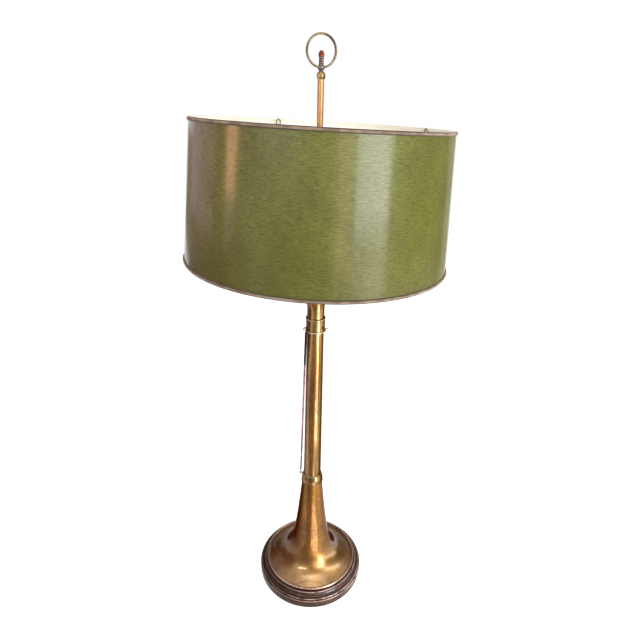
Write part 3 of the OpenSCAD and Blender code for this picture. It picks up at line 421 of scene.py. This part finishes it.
def bell_lacquer(p):
    looks = tarnished(tint("b98d4e"), tint("946a32"), tint("674521"), 0.21, 0.35, 0.5)(p)
    x, y, height = p.axes()
    radius = (x * x + y * y) ** 0.5
    dish = height.ramp(0.1, 0.06)
    # Painted shade: the left, and more weakly the back, turn dark brown and lose their coat.
    left, back = (x / radius).ramp(-0.3, -0.85), (y / radius).ramp(0.1, 0.7)
    painted_shade_left_back = x.maths("MAXIMUM", left, back * 0.5)
    painted_shade_left_back = painted_shade_left_back * height.ramp(0.275, 0.24) * (0.4 + 0.6 * height.ramp(0.06, 0.11))
    seam = abs(height - seam_height).ramp(0.0012, 0.0004)
    # Front of the dish painted paler: partly rubbed brass, partly painted highlight.
    rubbed = height.ramp(0.085, 0.045) * (y / radius).ramp(0.1, -0.5) * p.noise(34, 4).ramp(0.2, 0.6)
    # Darker in blotches just above the rim, where bell and rim meet.
    dark_blotches_above_rim = height.ramp(0.046, 0.036) * p.noise(60, 4).ramp(0.35, 0.65)
    colour = (rubbed * 0.5).between(looks["Base Color"], tint("b48f5e"))
    colour = (painted_shade_left_back * 0.8).between(colour, tint("3c2c20"))
    colour = (seam * 0.45).between(colour, tint("5a3414"))
    looks["Base Color"] = (dark_blotches_above_rim * 0.3).between(colour, tint("6b4a2c"))
    looks["Roughness"] = looks["Roughness"] + 0.1 * height.ramp(0.11, 0.06)
    looks["Height"] = looks["Height"] + seam * 0.00025
    looks["Coat Weight"] = (1 - painted_shade_left_back) * (0.4 + 0.5 * dish)
    return looks


bell_brass = finish("bell_lacquer", {"Metallic": 1.0, "Coat Roughness": 0.06,
                                     "Specular Tint": (0.38, 0.3, 0.25, 1)}, bell_lacquer)
heights = [bell_tall * (i / 30) ** 2 for i in range(31)]
outside = [(bell_radius(x), bell_foot + x) for x in heights]
inside = [(bell_radius(x + 1.3) - bell_wall, bell_foot + x) for x in heights[::-2]]
bell = turned(outside + inside, 160, closed=True)
piece("bell", bell, bell_brass, "stand", "bell_brass", "bell", smooth=60)


# Lower ferrule: a brass band with two raised edges, soldered over the joint of bell and tube. A wire eye on
# its left side takes the chain's hook.
eye_ring, eye_wire = 2.6, 0.8
eye_centre = Vector((-25.03, 0, 271.6))
eye_root = Vector((-19.0, 0, 271.6))


def edges_at(corners):
    """The edges that meet some corners, each once and always in the same order."""
    return list(dict.fromkeys(e for v in corners for e in v.link_edges))


def wire_eye(bm, centre, along):
    """A closed ring of round wire about a level axis through its centre."""
    out = Vector((0, 0, eye_ring))
    across = Matrix((along, along.cross((0, 0, 1)), (0, 0, 1))).transposed().to_4x4()
    section = bmesh.ops.create_circle(
        bm, segments=10, radius=eye_wire,
        matrix=Matrix.Translation(centre + out) @ across @ Matrix.Rotation(math.pi / 2, 4, "X"))["verts"]
    bmesh.ops.spin(bm, geom=section + edges_at(section), axis=along, cent=centre, angle=2 * math.pi,
                   steps=24, use_merge=True)


def rod(bm, start, end, radius, segments=14):
    """A round wire from start to end."""
    run = end - start
    turn = run.to_track_quat("Z", "Y").to_matrix().to_4x4()
    bmesh.ops.create_cone(bm, cap_ends=True, segments=segments, radius1=radius, radius2=radius,
                          depth=run.length, matrix=Matrix.Translation((start + end) / 2) @ turn)


def band_edge(radius, height, roll):
    """A rolled edge round a ferrule."""
    corners = ((-1, -1), (1, -1), (1, 1), (-1, 1))
    return turned([(radius + a * roll, height + b * roll, 0.8 * roll) for a, b in corners], 96, closed=True)


def aged(p):
    looks = tarnished(tint("c8a870"), tint("9c7d52"), tint("70563e"), 0.17, 0.4, 0.3)(p)
    x, y, _ = p.axes()
    side = x / (x * x + y * y) ** 0.5
    # Painted reflection: the left side turns mauve. Painted shade: the right side turns dark.
    colour = (side.ramp(-0.35, -0.85) * 0.5).between(looks["Base Color"], tint("7c6058"))
    looks["Base Color"] = (side.ramp(0.5, 0.9) * 0.75).between(colour, tint("35281a"))
    return looks


aged_brass = finish("aged_brass", {"Metallic": 1.0, "Specular Tint": (0.48, 0.4, 0.33, 1)}, aged)
# Painted highlight: a pale copy of the brass for the bright lines of the ferrules' edges and flanges.
painted_highlight_brass = finish("painted_highlight_brass", {"Metallic": 1.0},
                    tarnished(tint("e4e6cf"), tint("c3c3a0"), tint("7d7a55"), 0.22, 0.2))
low_ferrule = turned([
    (21.9, 254.2), (22.84, 254.2, 0.2), (22.84, 264.1, 1.5), (19.4, 273.6, 0.3), (19.4, 274.2, 0.2),
    (18.5, 274.2), (18.5, 263.3), (21.1, 263.3),
], closed=True)
rod(low_ferrule, eye_root, eye_centre + Vector((eye_ring, 0, 0)), 1.0)
wire_eye(low_ferrule, eye_centre, Vector((0, 1, 0)))
piece("lower_ferrule", low_ferrule, aged_brass, "stand", "aged_brass", "lower_ferrule")
piece("lower_edge", band_edge(22.84, 254.8, 0.6), aged_brass, "stand", "aged_brass")
piece("upper_edge", band_edge(19.4, 273.6, 0.6), painted_highlight_brass, "stand", "aged_brass")


# Main tube: drawn brass, slightly tapered, soldered into both ferrules. Its lacquer has gone cloudy where
# hands held it; its left side is painted mauve as a reflection and its right side painted dark as shade.
tube = turned([(18.5, 258.2), (17.25, 442.2), (16, 626.2), (14.8, 626.2), (17.3, 258.2)], closed=True)
piece("main_tube", tube, aged_brass, "stand", "aged_brass", "main_tube")


# Upper ferrule: a longer brass band with fine turned lines between two flanges painted pale as highlights,
# soldered over the joint of tube and mouthpiece. A ball stud stands on each side, turned a little to the
# front, painted near white as a glint.
stud_turn = math.radians(30)
stud_height = Vector((0, 0, 620.2))


def stud_way(side):
    """The level way in which a stud stands out, on the left (-1) or the right (1)."""
    return Vector((side * math.cos(stud_turn), -math.sin(stud_turn), 0))


up_ferrule = turned([
    (16.3, 612.2), (18.1, 612.2), (18.1, 615), (18.5, 615.5, 0.3), (18.1, 616), (18.0, 635.5),
    (18.4, 636, 0.3), (18.0, 636.5), (18.0, 640.2), (16.3, 640.2),
], closed=True)
piece("upper_ferrule", up_ferrule, aged_brass, "stand", "aged_brass", "upper_ferrule")
piece("low_flange", band_edge(18.1, 613.4, 1.2), painted_highlight_brass, "stand", "aged_brass")
piece("top_flange", band_edge(17.8, 639.0, 1.2), painted_highlight_brass, "stand", "aged_brass")
studs = bmesh.new()
for side in (-1, 1):
    out = stud_way(side)
    bmesh.ops.create_uvsphere(studs, u_segments=20, v_segments=12, radius=3.2,
                              matrix=Matrix.Translation(out * 23.66 + stud_height))
    rod(studs, out * 17.5 + stud_height, out * 22.5 + stud_height, 1.5, 16)
# Painted glint: the studs are tinted near white to stand for their highlights.
painted_glint_stud_metal = finish("painted_glint_stud_metal", {"Metallic": 1.0},
                    tarnished(tint("f2f3e6"), tint("dcdcc8"), tint("a9a88e"), 0.25, 0.2))
piece("ball_studs", studs, painted_glint_stud_metal, "stand", "aged_brass")


# Mouthpiece end of the horn: drawn brass like the tube, soldered into the upper ferrule. It opens into a cup
# under the shade, which carries the vase cap.
neck_wall = 1.6
curve = [(16.2 + 10.8 * t * t, 654.2 + 52.2 * t - 11.6 * t * t) for t in (i / 12 for i in range(13))]
mouth = turned([(16.2, 626.2)] + curve + [(27, 712.2, 0.5), (25.4, 712.2)]
               + [(r - neck_wall, z) for r, z in curve[::-1]] + [(14.6, 626.2)], closed=True)
piece("mouthpiece", mouth, aged_brass, "stand", "aged_brass", "mouthpiece", smooth=50)


# Ball chain on the left: an eye and a solid link from the stud, hollow balls of pinkish metal on a wire,
# and a hook down to the lower ferrule. Link and hook have gone dark.
chain_head = stud_way(-1) * 20.2 + Vector((0, 0, 620))
chain_foot = Vector((-25.03, 0, 272.5))
chain_way = (chain_foot - chain_head).normalized()
chain_wire, ball_pitch = 0.8, 6


def on_chain(distance):
    """The point that far down the chain from its head."""
    return chain_head + chain_way * distance


def darkened(p):
    worn = p.noise(380, 3).ramp(0.45, 0.7)
    return {"Base Color": worn.between(tint("1a110d"), tint("36271f")), "Roughness": 0.45 - 0.12 * worn}


def handled(bright, dull, gloss):
    """A small turned piece, cloudy from handling."""
    def looks(p):
        cloud = p.noise(75, 2)
        return {"Base Color": cloud.ramp(0.35, 0.65).between(dull, bright), "Roughness": gloss + 0.15 * cloud}
    return looks


dark_bronze = finish("darkened_bronze", {"Metallic": 1.0, "Specular Tint": (0.2, 0.16, 0.14, 1)}, darkened)
bead_metal = finish("bead_metal", {"Metallic": 1.0}, handled(tint("a98489"), tint("633f46"), 0.26))
link = bmesh.new()
wire_eye(link, chain_head, stud_way(-1))
rod(link, on_chain(eye_ring), on_chain(12), chain_wire)
rod(link, on_chain(8.2), on_chain(76.2), 2.05)
for band_at in (9.4, 42, 75):
    rod(link, on_chain(band_at - 1.2), on_chain(band_at + 1.2), 2.2)
piece("chain_link", link, dark_bronze, "stand", "dark_bronze", "chain_link")
beads = bmesh.new()
rod(beads, on_chain(76.3), on_chain(301.6), chain_wire, 8)
for i in range(37):
    bmesh.ops.create_uvsphere(beads, u_segments=12, v_segments=8, radius=2.4,
                              matrix=Matrix.Translation(on_chain(79.3 + ball_pitch * i)))
piece("bead_chain", beads, bead_metal, "stand", "dark_bronze", "bead_chain")
hook = bmesh.new()
wire_eye(hook, chain_foot + Vector((0, 0, eye_ring)), Vector((1, 0, 0)))
rod(hook, on_chain(301.8), on_chain(342.5), chain_wire)
rod(hook, on_chain(301.8), on_chain(339.3), 1.6)
piece("chain_hook", hook, dark_bronze, "stand", "dark_bronze", "chain_hook")


# Vase cap on the mouthpiece, its knurled nut, and the cluster that splits the wiring to two arms. The cap has
# aged with the horn; the rest are bright turned lamp fittings, kept clean by the shade.
def lathe_brass(p):
    z = p.axes()[2]
    lines = z.node("TexNoise", {"noise_dimensions": "1D"}, {"W": z, "Scale": 5200, "Detail": 1})
    film = p.noise(55, 4)
    colour = film.ramp(0.35, 0.7).between(tint("c99a50"), tint("e6c079"))
    return {"Base Color": colour, "Roughness": 0.2 + 0.2 * film, "Height": lines * 0.00002}


def knurled(radius, bore, low, high, flutes):
    """A round nut with a fluted edge: every second corner of its rim is let in a little."""
    bm = bmesh.new()
    outer = bmesh.ops.create_circle(bm, segments=2 * flutes, radius=radius)["verts"]
    for corner in outer[::2]:
        corner.co *= 1 - 0.6 / radius
    inner = bmesh.ops.create_circle(bm, segments=2 * flutes, radius=bore)["verts"]
    face = bmesh.ops.bridge_loops(bm, edges=edges_at(outer + inner))["faces"]
    bmesh.ops.translate(bm, vec=(0, 0, low), verts=bm.verts)
    top = bmesh.ops.extrude_face_region(bm, geom=face, use_keep_orig=True)["geom"]
    bmesh.ops.translate(bm, vec=(0, 0, high - low),
                        verts=[g for g in top if isinstance(g, bmesh.types.BMVert)])
    return bm


lamp_brass = finish("lathe_brass", {"Metallic": 1.0}, lathe_brass)
vase_cap = turned([
    (5.3, 709.2), (25.2, 709.2), (25.2, 712.2), (29, 712.2, 1.2), (29, 715.2, 1.2), (25.5, 715.2, 0.4),
    (19, 715.8), (13.5, 717.2), (10.8, 719.4), (10, 721.2), (5.3, 721.2),
], closed=True)
piece("vase_cap", vase_cap, aged_brass, "stand", "aged_brass", "vase_cap", smooth=50)
piece("cap_nut", knurled(10, 5.3, 721.2, 725.2, 32), lamp_brass, "stand", "lamp_brass", "cap_nut")
cluster = turned([
    (5.3, 725.2), (17, 725.2, 0.8), (17, 749.2), (18.5, 749.2, 1.2), (18.5, 752.2, 1.2), (7.65, 752.6, 0.6),
    (7.65, 759.2, 0.5), (5.3, 759.2),
], closed=True)
piece("cluster", cluster, lamp_brass, "stand", "lamp_brass", "cluster_body", "cluster_cover")
carry(lamp_brass, "arm_left", "arm_right", "base_nut")


# Two screw sockets on the bent arms: a spun cap, a shell with a beaded edge, a paper liner, a black switch
# core with a flat turn key, and the threaded inner shell.
socket_out, key_height, grip_out = 50, 780.1, 26.4


def paper_liner(p):
    fibre = p.noise(700, 3)
    return {"Base Color": fibre.between(tint("5e4a30"), tint("8b7350")), "Roughness": 0.85 + 0.1 * fibre}


def moulded_resin(p):
    speck = p.noise(500, 3)
    return {"Base Color": speck.between(tint("0f0d0c"), tint("241d19")), "Roughness": 0.35 + 0.2 * speck,
            "Height": speck * 0.00005}


def on_arm(bm, side):
    """Moves a shape from the lamp's middle to the socket on the given side."""
    bmesh.ops.translate(bm, vec=(socket_out, 0, 0), verts=bm.verts)
    if side == "left":
        bmesh.ops.scale(bm, vec=(-1, 1, 1), verts=bm.verts)
    return bm


liner_paper = finish("paper_liner", {}, paper_liner)
resin = finish("moulded_resin", {}, moulded_resin)
for side in ("left", "right"):
    cap = turned([
        (5.3, 751.2), (6.65, 751.2, 0.4), (6.65, 756.7, 0.3), (11.5, 757.5), (15.2, 760), (16.8, 764),
        (17.1, 768.2), (17.1, 771.6), (17.6, 772.4, 0.5), (17.1, 773.2), (16.4, 773.2), (16.4, 768),
        (5.3, 757.4),
    ], 64, closed=True)
    piece("socket_cap_" + side, on_arm(cap, side), lamp_brass, "stand", "lamp_brass", "socket_cap_" + side,
          smooth=50)
    shell = turned([
        (16.3, 768.2), (16.3, 788), (16.7, 788.6, 0.3), (16.3, 789.2), (16.3, 804), (16.7, 804.6, 0.3),
        (16.3, 805.2), (16.3, 809), (16.9, 809.6, 0.5), (16.3, 810.2), (15.6, 810.2), (15.6, 768.2),
    ], 64, closed=True)
    piece("socket_shell_" + side, on_arm(shell, side), lamp_brass, "stand", "lamp_brass",
          "socket_shell_" + side)
    carry(liner_paper, "socket_liner_" + side)
    carry(resin, "socket_core_" + side)
    carry(lamp_brass, "screw_shell_" + side)

    key = bmesh.new()
    rod(key, Vector((7.4, 0, key_height)), Vector((22, 0, key_height)), 1.9, 20)
    grip = bmesh.ops.create_cone(
        key, cap_ends=True, segments=32, radius1=6.5, radius2=6.5, depth=3.6,
        matrix=Matrix.Translation((grip_out, 0, key_height)) @ Matrix.Rotation(math.pi / 2, 4, "X"))
    rim_edges = [e for e in edges_at(grip["verts"]) if abs(e.verts[0].co.y - e.verts[1].co.y) < 0.01]
    bmesh.ops.bevel(key, geom=rim_edges, offset=0.9, segments=3, profile=0.5, affect="EDGES", material=-1)
    for i in range(-2, 3):
        for face_y in (-1.7, 1.7):
            bmesh.ops.create_cone(key, cap_ends=True, segments=8, radius1=0.4, radius2=0.4, depth=7,
                                  matrix=Matrix.Translation((grip_out + 1.6 * i, face_y, key_height)))
    piece("switch_key_" + side, on_arm(key, side), resin, "key_" + side, "phenolic", "switch_key_" + side)


# Bulbs: frosted glass, blown to a pear and cemented to a rolled aluminium thread, which screws into the
# socket. They are shown unlit.
def rolled_thread(p):
    rub = p.noise(240, 3)
    return {"Base Color": rub.between(tint("9c9c98"), tint("d4d3cd")), "Roughness": 0.25 + 0.2 * rub}


def frosted(p):
    frost = p.noise(1500, 2)
    return {"Base Color": frost.between(tint("efe9da"), tint("fbf8ee")), "Roughness": 0.4 + 0.15 * frost}


thread_metal = finish("rolled_thread", {"Metallic": 1.0}, rolled_thread)
frost_glass = finish("frosted_glass", {"Transmission Weight": 0.45, "IOR": 1.45}, frosted)
for side in ("left", "right"):
    screw = [(0, 789.8), (5.2, 789.8, 0.4), (6, 791.5), (12.2, 794.8)]
    for turn_z in (797, 800.5, 804, 807.5):
        screw += [(12.3, turn_z - 1.75, 0.6), (13.0, turn_z, 0.8)]
    screw += [(12.4, 809.3, 0.5), (12.4, 813), (13, 813.6, 0.3), (13, 814.8), (0, 814.8)]
    piece("bulb_base_" + side, on_arm(turned(screw, 48), side), thread_metal, "stand", "bulb_metal",
          "bulb_base_" + side)
    glass = turned([
        (0, 814.8), (12.9, 814.8, 0.3), (13.1, 820), (14, 827), (16.6, 835), (21.4, 845), (26.3, 854),
        (29.2, 862), (30, 867), (29.3, 873.2), (27.1, 879.7), (23, 886.1), (17.3, 891.3), (11.5, 894.5),
        (5.6, 896.3), (0, 896.8),
    ], 48)
    piece("bulb_glass_" + side, on_arm(glass, side), frost_glass, "stand", "bulb_glass", "bulb_glass_" + side,
          smooth=60)


# Centre rod: a length of brass lamp pipe, redder than the horn, screwed into the cluster. It runs up through
# the shade and carries the collar and the finial.
rod_brass = finish("rod_brass", {"Metallic": 1.0},
                   tarnished(tint("d9bc92"), tint("bd966a"), tint("9c7852"), 0.34, 0.3, 0.4))
carry(rod_brass, "centre_rod")


# Sliding collar with its thumb screw, which holds the shade at its height, and the knurled nut that keeps
# the spider's hub on the collar's neck. All are turned lamp brass.
carry(lamp_brass, "shade_collar", "spider_hub", "thumb_screw")
piece("collar_nut", knurled(11.76, 8.1, 953.9, 957.9, 36), lamp_brass, "shade_carrier", "lamp_brass",
      "collar_nut")


# Shade frame: four spider wires that end in upright loops soldered inside the top ring, and a wire ring in
# each edge, bound with cream tape. The arms are a little bent, so the shade leans to the right.
def wire_paint(p):
    chip = p.noise(220, 3).ramp(0.5, 0.7)
    return {"Base Color": chip.between(tint("6a5f4c"), tint("a39a82")), "Roughness": 0.4 + 0.2 * chip}


def cotton_tape(p):
    x, y, z = p.axes()
    wound = x.maths("SINE", x.maths("ARCTAN2", x, y) * 180 + z * 900)
    thread = p.noise(800, 2)
    colour = thread.between(tint("ece8da"), tint("faf7ee"))
    return {"Base Color": (wound.ramp(0.7, 1) * 0.5).between(colour, tint("c2bba6")),
            "Roughness": 0.75 + 0.15 * thread, "Height": wound * 0.0001 + thread * 0.00005}


frame_wire = finish("frame_wire", {"Metallic": 0.8}, wire_paint)
bound_ring = finish("cotton_tape", {"Specular IOR Level": 0.2}, cotton_tape)
carry(frame_wire, "spider_arms")
carry(bound_ring, "top_ring", "bottom_ring")


# Cover of the drum shade: green slubbed cloth laminated to stiff sheet, so it shines like satin, joined by a
# lapped seam at the back. Its lower part, most of all at the left, is painted darker as shade.
shade_top = (4.6, 0, 978.7)
shade_lean = math.radians(1.95)
top_r, bottom_r, shade_tall, sheet_wall = 210, 227, 224, 0.8
unrolled_r, lap_edge = 0.22, 0.683
weft_pitch, warp_pitch = 0.0007, 0.0009


def leaned(bm):
    """Sets a shape, made about the middle of the shade's top, in its leaning place."""
    place = Matrix.Translation(shade_top) @ Matrix.Rotation(shade_lean, 4, "Y")
    bmesh.ops.transform(bm, matrix=place, verts=bm.verts)
    return bm


def drum_sheet(inset):
    """A sheet of the drum, let in from the outside of the cover."""
    wall = inset + sheet_wall
    return leaned(turned([(top_r - inset, 0), (bottom_r - inset, -shade_tall),
                          (bottom_r - wall, -shade_tall), (top_r - wall, 0)], 256, closed=True))


def along_shade(p):
    """Distance round the shade from its front, and height up it, in metres, with the lean taken out."""
    straight = p.node("Mapping", {"vector_type": "TEXTURE"},
                      {"Vector": p, "Location": [v / 1000 for v in shade_top],
                       "Rotation": (0, shade_lean, 0)})
    x, y, z = straight.axes()
    return x.maths("ARCTAN2", x, y * -1) * unrolled_r, z


def slub_cloth(p):
    around, up = along_shade(p)
    flat = p.node("CombineXYZ", {}, {"X": around, "Y": up})
    slub = flat.stretched(1, 9, 1).noise(104, 3, 0.6).ramp(0.48, 0.68)
    long_slub = flat.stretched(1, 18, 1).noise(60, 3, 0.6).ramp(0.5, 0.64)
    short = flat.stretched(1, 5, 1).noise(170, 2).ramp(0.5, 0.68)
    pale_thread = flat.stretched(1, 8, 1).noise(88, 2).ramp(0.56, 0.7)
    cloud = flat.noise(14, 3)
    weft = up.maths("SINE", up * (2 * math.pi / weft_pitch))
    warp = up.maths("SINE", around * (2 * math.pi / warp_pitch))
    seam = (abs(around) - lap_edge).ramp(0, 0.0006)
    # Painted shade: darker towards the bottom, most of all on the left.
    painted_shade_low_left = up.ramp(-0.1, -0.22) * (0.14 + 0.26 * around.ramp(-0.03, -0.22))
    colour = cloud.ramp(0.3, 0.7).between(tint("5b5f1e"), tint("6b6f28"))
    colour = (pale_thread * 0.45).between(colour, tint("858543"))
    colour = (slub * 0.75).between(colour, tint("423b0c"))
    colour = (long_slub * 0.68).between(colour, tint("40360a"))
    colour = (short * 0.6).between(colour, tint("433d10"))
    colour = painted_shade_low_left.between(colour, tint("2c2104"))
    colour = (seam * 0.5).between(colour, tint("3a3a10"))
    return {"Base Color": colour, "Roughness": 0.42 + 0.1 * slub,
            "Coat Weight": 1 - 0.25 * slub - 0.2 * long_slub - 0.15 * short,
            "Height": (weft + warp) * 0.00001 + slub * 0.00005 + short * 0.00003 + seam * 0.0002}


cover_cloth = finish("slub_cloth", {"Coat Roughness": 0.17, "Specular IOR Level": 0.25}, slub_cloth)
piece("shade_cover", drum_sheet(0), cover_cloth, "shade", "shade_green", "shade_fabric")


# Lining: stiff white sheet with a fine weave, glued to the inside of the cover and yellowed to cream by lamp
# light.
def cream_sheet(p):
    around, up = along_shade(p)
    weave = p.node("CombineXYZ", {}, {"X": around, "Y": up}).stretched(1, 6, 1).noise(420, 2)
    warm = p.noise(9, 3)
    colour = warm.ramp(0.3, 0.7).between(tint("f5f2e8"), tint("fcfaf3"))
    return {"Base Color": (weave.ramp(0.5, 0.8) * 0.25).between(colour, tint("e3d9c2")),
            "Height": weave * 0.00004}


cream = finish("cream_sheet", {"Roughness": 0.7, "Specular IOR Level": 0.25}, cream_sheet)
piece("shade_lining", drum_sheet(0.9), cream, "shade", "lining", "shade_lining")


# Gimp at both edges: a dark woven tape with a fat twisted taupe cord along it, glued to the cover flush with
# its edge. Each turn of the cord is one slanting strand.
tape_wide, strands, strand_slant = 5.5, 540, math.radians(52)


def woven_tape(p):
    thread = p.noise(900, 2)
    return {"Base Color": thread.between(tint("20160f"), tint("3e2e22")), "Roughness": 0.6 + 0.2 * thread,
            "Height": thread * 0.0002}


def twisted_silk(p):
    strand = p.noise(1400, 2, 0.6)
    worn = p.noise(60, 3)
    colour = worn.ramp(0.35, 0.7).between(tint("7d6a58"), tint("ab9782"))
    return {"Base Color": (strand * 0.35).between(colour, tint("4c3c30")), "Roughness": 0.38 + 0.2 * strand,
            "Height": strand * 0.0001}


tape = finish("woven_tape", {"Sheen Weight": 0.3}, woven_tape)
silk = finish("twisted_silk", {"Sheen Weight": 0.1, "Specular IOR Level": 0.3}, twisted_silk)
for name, edge_r, edge_z in (("top", top_r, 0), ("bottom", 226.58, tape_wide - shade_tall)):
    band = turned([
        (edge_r + 0.1, edge_z), (edge_r + 0.9, edge_z, 0.3), (edge_r + 1.3, edge_z - tape_wide, 0.3),
        (edge_r + 0.52, edge_z - tape_wide),
    ], 256, closed=True)
    piece(name + "_tape", leaned(band), tape, "shade", "gimp", name + "_trim")
    cord = bmesh.new()
    bmesh.ops.create_uvsphere(
        cord, u_segments=6, v_segments=5, radius=1, matrix=Matrix.Translation((edge_r + 1.3, 0, edge_z - 2.7))
        @ Matrix.Rotation(strand_slant, 4, "X") @ Matrix.Diagonal((1.4, 1.1, 2.6, 1)))
    bmesh.ops.spin(cord, geom=cord.verts[:] + cord.edges[:] + cord.faces[:], axis=(0, 0, 1), cent=(0, 0, 0),
                   angle=2 * math.pi * (strands - 1) / strands, steps=strands - 1, use_duplicate=True)
    piece(name + "_cord", leaned(cord), silk, "shade", "gimp", smooth=80)


# Finial: a bright barrel collar screwed on the rod, a dark ringed spindle with a boss, an upright brass ring
# through the boss, and a copper bullet tip. All are turned, but the ring is bent from rounded strip.
groove_pitch = 0.0034
ring_height, ring_r, ring_turn = 1081.2, 23, math.radians(15)
ring_thick, ring_wide, ring_rounding = 3, 5.4, 1.3


def ringed(p):
    groove = p.maths("SINE", p.axes()[2] * (2 * math.pi / groove_pitch)).ramp(-0.6, 0.5)
    cloud = p.noise(220, 2)
    colour = cloud.between(tint("75686a"), tint("9a8e8a"))
    return {"Base Color": groove.between(tint("40332f"), colour), "Roughness": 0.3 + 0.15 * cloud}


def polished_copper(p):
    cloud = p.noise(160, 4)
    return {"Base Color": cloud.ramp(0.35, 0.7).between(tint("63351f"), tint("8a563e")),
            "Roughness": 0.22 + 0.2 * cloud}


ring_brass = finish("ring_brass", {"Metallic": 1.0}, handled(tint("b09a6e"), tint("6a5940"), 0.26))
spindle_metal = finish("ringed_spindle", {"Metallic": 0.9}, ringed)
ring_dark = finish("ring_dark", {"Metallic": 1.0}, handled(tint("8e7e62"), tint("4c4034"), 0.3))
copper = finish("polished_copper", {"Metallic": 1.0}, polished_copper)
barrel = turned([
    (0, 1041.7), (5.4, 1041.7, 0.5), (6.2, 1042.8, 0.5), (6.2, 1043.4, 0.2), (6.8, 1044.4, 0.6),
    (6.8, 1049, 0.6), (6.2, 1050, 0.2), (6.2, 1050.6, 0.5), (5.2, 1051.7, 0.5), (0, 1051.7),
], 64)
piece("finial_barrel", barrel, ring_brass, "finial", "lamp_brass", "finial_barrel")
spindle = turned([
    (0, 1051.7), (3.5, 1051.7), (3.5, 1054.5, 0.6), (5, 1054.9, 0.8), (5, 1061.4, 0.8), (3.5, 1061.9, 0.4),
    (3.9, 1062.6, 0.5), (3.9, 1064.2, 0.5), (3.4, 1064.7), (3.4, 1065.3), (3.9, 1065.9, 0.5),
    (3.9, 1067.6, 0.5), (3.4, 1068.1), (3.4, 1068.7), (3.9, 1069.3, 0.5), (3.9, 1071.4, 0.5), (3.6, 1072.7),
    (0, 1072.7),
], 48)
piece("finial_stem", spindle, spindle_metal, "finial", "dark_bronze", "finial_stem")
ring = bmesh.new()
bmesh.ops.create_grid(
    ring, x_segments=1, y_segments=1, size=0.5, matrix=Matrix.Translation((ring_r, 0, 0))
    @ Matrix.Rotation(math.pi / 2, 4, "X") @ Matrix.Diagonal((ring_thick, ring_wide, 1, 1)))
bmesh.ops.delete(ring, geom=ring.faces[:], context="FACES_ONLY")
bmesh.ops.bevel(ring, geom=ring.verts[:], offset=ring_rounding, segments=5, profile=0.5, affect="VERTICES",
                material=-1)
bmesh.ops.spin(ring, geom=ring.verts[:] + ring.edges[:], axis=(0, 0, 1), cent=(0, 0, 0), angle=2 * math.pi,
               steps=96, use_merge=True)
bmesh.ops.transform(
    ring, matrix=Matrix.Translation((0, 0, ring_height)) @ Matrix.Rotation(ring_turn, 4, "Z")
    @ Matrix.Rotation(math.pi / 2, 4, "X"), verts=ring.verts)
piece("finial_ring", ring, ring_dark, "finial", "aged_brass", "finial_ring")
tip = turned([
    (0, 1072.7), (4.6, 1072.7, 0.4), (4.6, 1075), (4.4, 1077), (3.7, 1079.2), (2.6, 1080.9), (1.3, 1081.8),
    (0, 1082.1),
], 48)
piece("finial_tip", tip, copper, "finial", "copper", "finial_tip", smooth=60)
